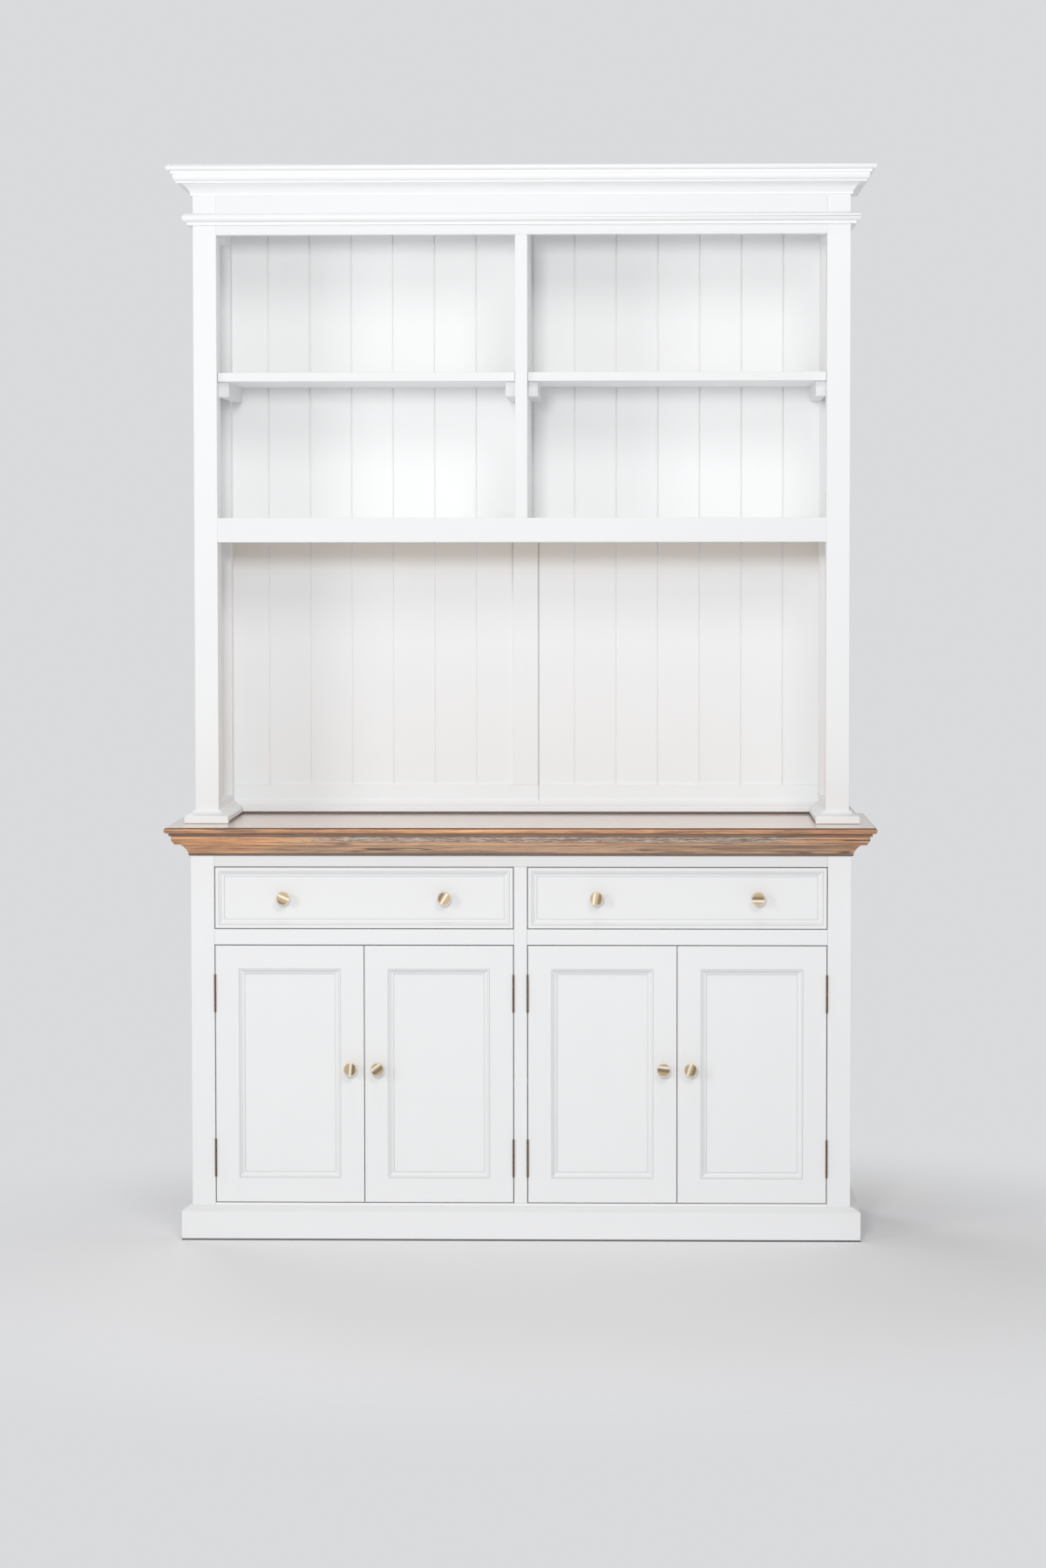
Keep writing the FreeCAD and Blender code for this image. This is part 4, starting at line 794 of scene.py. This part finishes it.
class MetalLooks(bpy.types.PropertyGroup):
    """The knobs and hinges."""

    # Painted highlight: the bands and rims of the knobs that stand for light caught by the brass
    brass_painted_highlight: FloatVectorProperty(
        name="Lit brass", description="Colour of the bands that catch light",
        subtype="COLOR", size=3, min=0, max=1, default=(1.0, 0.88, 0.66),
    )
    brass_middle: FloatVectorProperty(
        name="Brass", description="Colour of most of each knob",
        subtype="COLOR", size=3, min=0, max=1, default=(0.52, 0.37, 0.2),
    )
    # The brushed streaks, and the painted dark reflection bands of the knobs
    brass_streaks_and_dark_reflection: FloatVectorProperty(
        name="Deep brass", description="Colour of the bands away from the light",
        subtype="COLOR", size=3, min=0, max=1, default=(0.14, 0.098, 0.055),
    )
    brass_roughness: FloatProperty(
        name="Brush", description="Roughness of the turned brass",
        subtype="FACTOR", min=0, max=1, default=0.32,
    )
    bronze_dark: FloatVectorProperty(
        name="Bronze", description="Colour of the hinges",
        subtype="COLOR", size=3, min=0, max=1, default=(0.08, 0.04, 0.022),
    )
    bronze_rubbed: FloatVectorProperty(
        name="Rubbed bronze", description="Colour where the hinges are rubbed",
        subtype="COLOR", size=3, min=0, max=1, default=(0.18, 0.095, 0.05),
    )


class StageLooks(bpy.types.PropertyGroup):
    """The floor, the light and the camera."""

    floor_color: FloatVectorProperty(
        name="Floor", description="Colour of the floor",
        subtype="COLOR", size=3, min=0, max=1, default=(0.915, 0.915, 0.925),
    )
    wall_color: FloatVectorProperty(
        name="Backdrop", description="Colour seen behind the hutch",
        subtype="COLOR", size=3, min=0, max=1, default=(0.627, 0.635, 0.651),
    )
    sky_light: FloatProperty(
        name="Room light", description="Strength of the even light from above",
        min=0, default=0.21,
    )
    front_light: FloatProperty(
        name="Front light", description="Power of the small lamp in front",
        unit="POWER", min=0, default=80,
    )
    left_light: FloatProperty(
        name="Left light", description="Power of the lamp on the left",
        unit="POWER", min=0, default=52,
    )
    high_light: FloatProperty(
        name="High light", description="Power of the lamp high in front",
        unit="POWER", min=0, default=65,
    )
    top_light: FloatProperty(
        name="Top light", description="Power of the lamp overhead",
        unit="POWER", min=0, default=22,
    )
    rear_light: FloatProperty(
        name="Rear light", description="Power of the lamp high behind",
        unit="POWER", min=0, default=39,
    )
    shade_lift: FloatProperty(
        name="Shade lift", description="Gamma of the view, which lightens the shades",
        min=0.5, max=2, default=1.3,
    )
    lens: FloatProperty(
        name="Lens", description="Focal length",
        subtype="DISTANCE_CAMERA", min=10, default=94.63,
    )


class HutchOperator:
    """What the operators share."""

    bl_options = {"REGISTER", "UNDO"}


class HUTCH_OT_framing(HutchOperator, bpy.types.Operator):
    """Paints the posts, rails, shelves, boards and plinth"""

    bl_idname = "hutch.framing"
    bl_label = "Framing"

    def execute(self, context):
        looks = context.scene.hutch_paint
        outside, inside, gap = looks.paint_color, looks.inside_lit_color, looks.gap_shade_color
        # Painted shade: darker copies of the outside paint for the upper rails, the divider and the cleats
        upper, cleat = shaded(outside, UPPER_SHADE_SHARE), shaded(outside, CLEAT_SHADE_SHARE)
        finishes = (
            # The face frame's reveals, and the face rails' inward faces below, take the painted shade of the
            # gaps
            (FACE_UPRIGHTS, white_paint("white_paint_face_uprights", "z", looks, outside, gap)),
            # Inward faces of the uprights, shelves, upper rails and divider take the lighter inside paint, a
            # painted light
            (UPRIGHTS, white_paint("white_paint_uprights", "z", looks, outside, inside)),
            (SHELVES, white_paint("white_paint_shelves", "x", looks, outside, inside)),
            (UPPER_RAILS, white_paint("white_paint_upper_rails", "x", looks, upper, inside)),
            (("hutch_divider",), white_paint("white_paint_divider", "z", looks, upper, inside)),
            (("shelf_cleats",), white_paint("white_paint_cleats", "y", looks, cleat, outside)),
        )
        for nodes, finish in finishes:
            for node in nodes:
                dress(node, finish, looks.edge_radius)
        # The plinth's foot takes a painted contact shadow
        finish = white_paint("white_paint_plinth", "x", looks, outside, layer=plinth_contact_shadow)
        dress("plinth", finish, looks.edge_radius / 3)
        # Each row of rails takes its own painted shade or light
        for node, share in FACE_RAIL_PAINTED_LIGHT.items():
            finish = white_paint(f"white_paint_{node}", "x", looks, shaded(outside, share), gap)
            dress(node, finish, looks.edge_radius)
        return {"FINISHED"}


class HUTCH_OT_back(HutchOperator, bpy.types.Operator):
    """Paints the planked back, its muntin and its bottom rail"""

    bl_idname = "hutch.back"
    bl_label = "Planked Back"

    def execute(self, context):
        looks = context.scene.hutch_paint
        # The open bay's back takes painted shade and tints, and painted shadow lines beside the muntin
        paint, layer = looks.inside_lit_color, open_bay_painted_shade
        boards = (PLANK_PITCH, FIRST_JOINT)
        finish = white_paint("white_paint_planks", "z", looks, paint, boards=boards, layer=layer)
        dress("hutch_back_planks", finish)
        low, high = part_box("hutch_back_frame")
        rail = (-high.x, high.x, low.z - RAIL_MARGIN, low.z + BACK_RAIL_HEIGHT)
        finish = white_paint("white_paint_back_frame", "z", looks, paint, boxes=[rail], layer=layer)
        dress("hutch_back_frame", finish, looks.edge_radius)
        return {"FINISHED"}


class HUTCH_OT_mouldings(HutchOperator, bpy.types.Operator):
    """Paints the shoe, the neck and the cornice"""

    bl_idname = "hutch.mouldings"
    bl_label = "Mouldings"

    def execute(self, context):
        looks = context.scene.hutch_paint
        # The mouldings take the lighter moulding paint, a painted light
        finish = white_paint("white_paint_mouldings", "x", looks, looks.moulding_lit_color)
        for node in MOULDINGS:
            dress(node, finish, looks.edge_radius / 2)
        # The shoe takes a painted shadow line where it stands on the counter
        finish = white_paint("white_paint_shoe", "x", looks, looks.moulding_lit_color, layer=shoe_shadow_line)
        dress("hutch_shoe", finish, looks.edge_radius / 2)
        return {"FINISHED"}


class HUTCH_OT_doors(HutchOperator, bpy.types.Operator):
    """Paints the four framed doors and their panels"""

    bl_idname = "hutch.doors"
    bl_label = "Doors"

    def execute(self, context):
        looks = context.scene.hutch_paint
        for door in DOORS:
            low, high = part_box(f"{door}_door_frame")
            field_low, field_high = inset_box(*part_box(f"{door}_door_panel"), PANEL_GROOVE)
            foot = (field_low.x, field_high.x, low.z, field_low.z)
            head = (field_low.x, field_high.x, field_high.z, high.z)
            # A layer of painted shade in the gaps and in the moulding's quirks
            layer = front_paint(low, high, field_low, field_high)
            name = f"white_paint_{door}_door"
            finish = white_paint(name, "z", looks, looks.paint_color, boxes=[foot, head], layer=layer)
            dress(f"{door}_door_frame", finish, looks.edge_radius)
            dress(f"{door}_door_panel", finish, looks.edge_radius / 3)
        return {"FINISHED"}


class HUTCH_OT_drawers(HutchOperator, bpy.types.Operator):
    """Paints the drawer fronts and leaves the boxes bare"""

    bl_idname = "hutch.drawers"
    bl_label = "Drawers"

    def execute(self, context):
        looks = context.scene.hutch_paint
        sides = bare_wood("plain_wood_drawer_boxes", "y", BOX_WOOD, DRAWER_BACK - DRAWER_BOARD - BACK_MARGIN)
        bottoms = bare_wood("plain_wood_drawer_bottoms", "x", BOTTOM_WOOD)
        for drawer in DRAWERS:
            front = f"{drawer}_drawer_front"
            low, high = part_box(front)
            # A layer of painted shade in the gaps and in the moulding's quirks
            layer = front_paint(low, high, *inset_box(low, high, DRAWER_BORDER))
            finish = white_paint(f"white_paint_{front}", "x", looks, looks.paint_color, layer=layer)
            dress(front, finish, looks.edge_radius / 3)
            dress(f"{drawer}_drawer_box", sides, looks.edge_radius / 3)
            dress(f"{drawer}_drawer_bottom", bottoms)
        return {"FINISHED"}


class HUTCH_OT_counter(HutchOperator, bpy.types.Operator):
    """Finishes the wooden counter and its crown moulding"""

    bl_idname = "hutch.counter"
    bl_label = "Counter"

    def execute(self, context):
        material = counter_finish("counter_wood", context.scene.hutch_counter)
        for node in ("counter_board", "counter_moulding"):
            dress(node, material, context.scene.hutch_paint.edge_radius / 2)
        return {"FINISHED"}


class HUTCH_OT_knobs(HutchOperator, bpy.types.Operator):
    """Finishes the turned brass knobs"""

    bl_idname = "hutch.knobs"
    bl_label = "Knobs"

    def execute(self, context):
        looks = context.scene.hutch_metal
        bands = iter(KNOB_BANDS)
        nodes = [f"{drawer}_drawer_knobs" for drawer in DRAWERS] + [f"{door}_door_knob" for door in DOORS]
        for node in nodes:
            low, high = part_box(node)
            radius, level = (high.z - low.z) / 2, (high.z + low.z) / 2
            centres = [low.x + radius]
            if high.x - low.x > KNOB_REACH * radius:
                centres.append(high.x - radius)
            knobs = [(centre, level, radius, *next(bands)) for centre in centres]
            dress(node, brushed_brass(f"brass_{node}", knobs, looks))
        return {"FINISHED"}


class HUTCH_OT_hardware(HutchOperator, bpy.types.Operator):
    """Finishes the hinges and the door catches"""

    bl_idname = "hutch.hardware"
    bl_label = "Hinges and Catches"

    def execute(self, context):
        bronze = antique_bronze("antique_bronze", context.scene.hutch_metal)
        dress("hinge_frame_leaves", bronze)
        for door in DOORS:
            dress(f"{door}_door_hardware", bronze)
        dress("door_catches", moulded_plastic("catch_plastic"), CATCH_EASE)
        return {"FINISHED"}


class HUTCH_OT_inside(HutchOperator, bpy.types.Operator):
    """Finishes the drawers' runners and the back sheet of the base"""

    bl_idname = "hutch.inside"
    bl_label = "Runners and Back Sheet"

    def execute(self, context):
        ease = context.scene.hutch_paint.edge_radius
        dress("drawer_runners", bare_wood("plain_wood_runners", "y", RUNNER_WOOD), ease)
        dress("base_back_panel", bare_wood("back_sheet", "z", SHEET_WOOD))
        return {"FINISHED"}


def plane(name, half_side):
    """A level square, with its middle at the origin."""
    mesh = bpy.data.meshes.new(name)
    shape = bmesh.new()
    bmesh.ops.create_grid(shape, x_segments=2, y_segments=2, size=half_side)
    shape.to_mesh(mesh)
    shape.free()
    thing = bpy.data.objects.new(name, mesh)
    bpy.context.scene.collection.objects.link(thing)
    return thing


def floor_paint(looks):
    """Pale floor paint that fades out round the hutch."""
    surface = Surface("stage_floor_paint")
    x, y, _ = surface.place()
    cloud = surface.noise((x, y, 0.0), (0.6, 0.6, 1), 2)
    pale = looks.floor_color
    color = surface.blend(surface.ramp(cloud, 0.3, 0.7), shaded(pale, 0.985), pale)
    from_x, from_y = x - FLOOR_MIDDLE[0], y - FLOOR_MIDDLE[1]
    reach = surface.math("SQRT", from_x * from_x + from_y * from_y)
    fade = surface.ramp(reach, FLOOR_CORE, FLOOR_END, 1.0, 0.0)
    return surface.finish(Base_Color=color, Roughness=0.9, Specular_IOR_Level=0.1, Alpha=fade)


def room_light(looks):
    """An even light from above, with the backdrop for the camera, for reflections and below the horizon."""
    world = bpy.data.worlds.new("stage_room")
    world.use_nodes = True
    world.node_tree.nodes.clear()
    graph = Graph(world.node_tree)
    room = graph.add("ShaderNodeBackground", None, {"Color": ROOM_COLOR, "Strength": looks.sky_light})
    backdrop = graph.add("ShaderNodeBackground", None, {"Color": looks.wall_color})
    rays = graph.add("ShaderNodeLightPath").outputs
    heading = graph.coordinates("Generated")[2]
    seen = graph.most(rays["Is Camera Ray"], rays["Is Glossy Ray"], graph.below(heading, 0.0))
    shaders = {0: seen, 1: room.outputs[0], 2: backdrop.outputs[0]}
    mix = graph.add("ShaderNodeMixShader", None, shaders)
    graph.add("ShaderNodeOutputWorld", None, {"Surface": mix.outputs[0]})
    return world


def lamp(name, power, size, place, target):
    """A square lamp that points at a target."""
    light = bpy.data.lights.new(name, "AREA")
    light.energy = power
    light.size = size
    thing = bpy.data.objects.new(name, light)
    thing.location = place
    thing.rotation_mode = "QUATERNION"
    thing.rotation_quaternion = (Vector(target) - Vector(place)).to_track_quat("-Z", "Y")
    thing.visible_camera = False
    bpy.context.scene.collection.objects.link(thing)


def photo_camera(lens):
    """The camera, as it stood for the photograph."""
    camera = bpy.data.objects.new("camera", bpy.data.cameras.new("camera"))
    camera.data.lens = lens
    camera.data.sensor_width = SENSOR_WIDTH
    camera.data.clip_end = CAMERA_REACH
    turn = Matrix.Rotation(CAMERA_HEADING, 4, "Z") @ Matrix.Rotation(math.pi / 2 - CAMERA_DIP, 4, "X")
    turn = turn @ Matrix.Rotation(CAMERA_ROLL, 4, "Z")
    camera.matrix_world = Matrix.Translation(CAMERA_PLACE) @ turn
    bpy.context.scene.collection.objects.link(camera)
    return camera


class HUTCH_OT_stage(HutchOperator, bpy.types.Operator):
    """Sets out the floor, the light and the camera"""

    bl_idname = "hutch.stage"
    bl_label = "Stage"

    def execute(self, context):
        looks = context.scene.hutch_stage
        floor = plane("stage_floor", FLOOR_HALF)
        floor.data.materials.append(floor_paint(looks))
        context.scene.world = room_light(looks)
        for name, size, place in LAMPS:
            lamp(f"stage_{name}", getattr(looks, f"{name}_light"), size, place, LAMP_TARGET)
        context.scene.camera = photo_camera(looks.lens)
        context.scene.view_settings.view_transform = "Standard"
        context.scene.view_settings.gamma = looks.shade_lift
        return {"FINISHED"}


STEPS = (
    HUTCH_OT_framing,
    HUTCH_OT_back,
    HUTCH_OT_mouldings,
    HUTCH_OT_doors,
    HUTCH_OT_drawers,
    HUTCH_OT_counter,
    HUTCH_OT_knobs,
    HUTCH_OT_hardware,
    HUTCH_OT_inside,
    HUTCH_OT_stage,
)
SETTINGS = {
    "hutch_paint": PaintLooks,
    "hutch_counter": CounterLooks,
    "hutch_metal": MetalLooks,
    "hutch_stage": StageLooks,
}


class HUTCH_PT_sidebar(bpy.types.Panel):
    """Lists the finishes in the order that they go on"""

    bl_idname = "HUTCH_PT_sidebar"
    bl_label = "Hutch"
    bl_space_type = "VIEW_3D"
    bl_region_type = "UI"
    bl_category = "Hutch"

    def draw(self, context):
        for holder in SETTINGS:
            group = getattr(context.scene, holder)
            for name in group.__annotations__:
                self.layout.prop(group, name)
        for step in STEPS:
            self.layout.operator(step.bl_idname)


def register():
    for kind in (*SETTINGS.values(), *STEPS, HUTCH_PT_sidebar):
        bpy.utils.register_class(kind)
    for name, kind in SETTINGS.items():
        setattr(bpy.types.Scene, name, PointerProperty(type=kind))


def unregister():
    for name in SETTINGS:
        delattr(bpy.types.Scene, name)
    for kind in reversed((*SETTINGS.values(), *STEPS, HUTCH_PT_sidebar)):
        bpy.utils.unregister_class(kind)


def main():
    """Runs every step in order."""
    register()
    for step in STEPS:
        group, name = step.bl_idname.split(".")
        getattr(getattr(bpy.ops, group), name)()


if __name__ == "__main__":
    main()
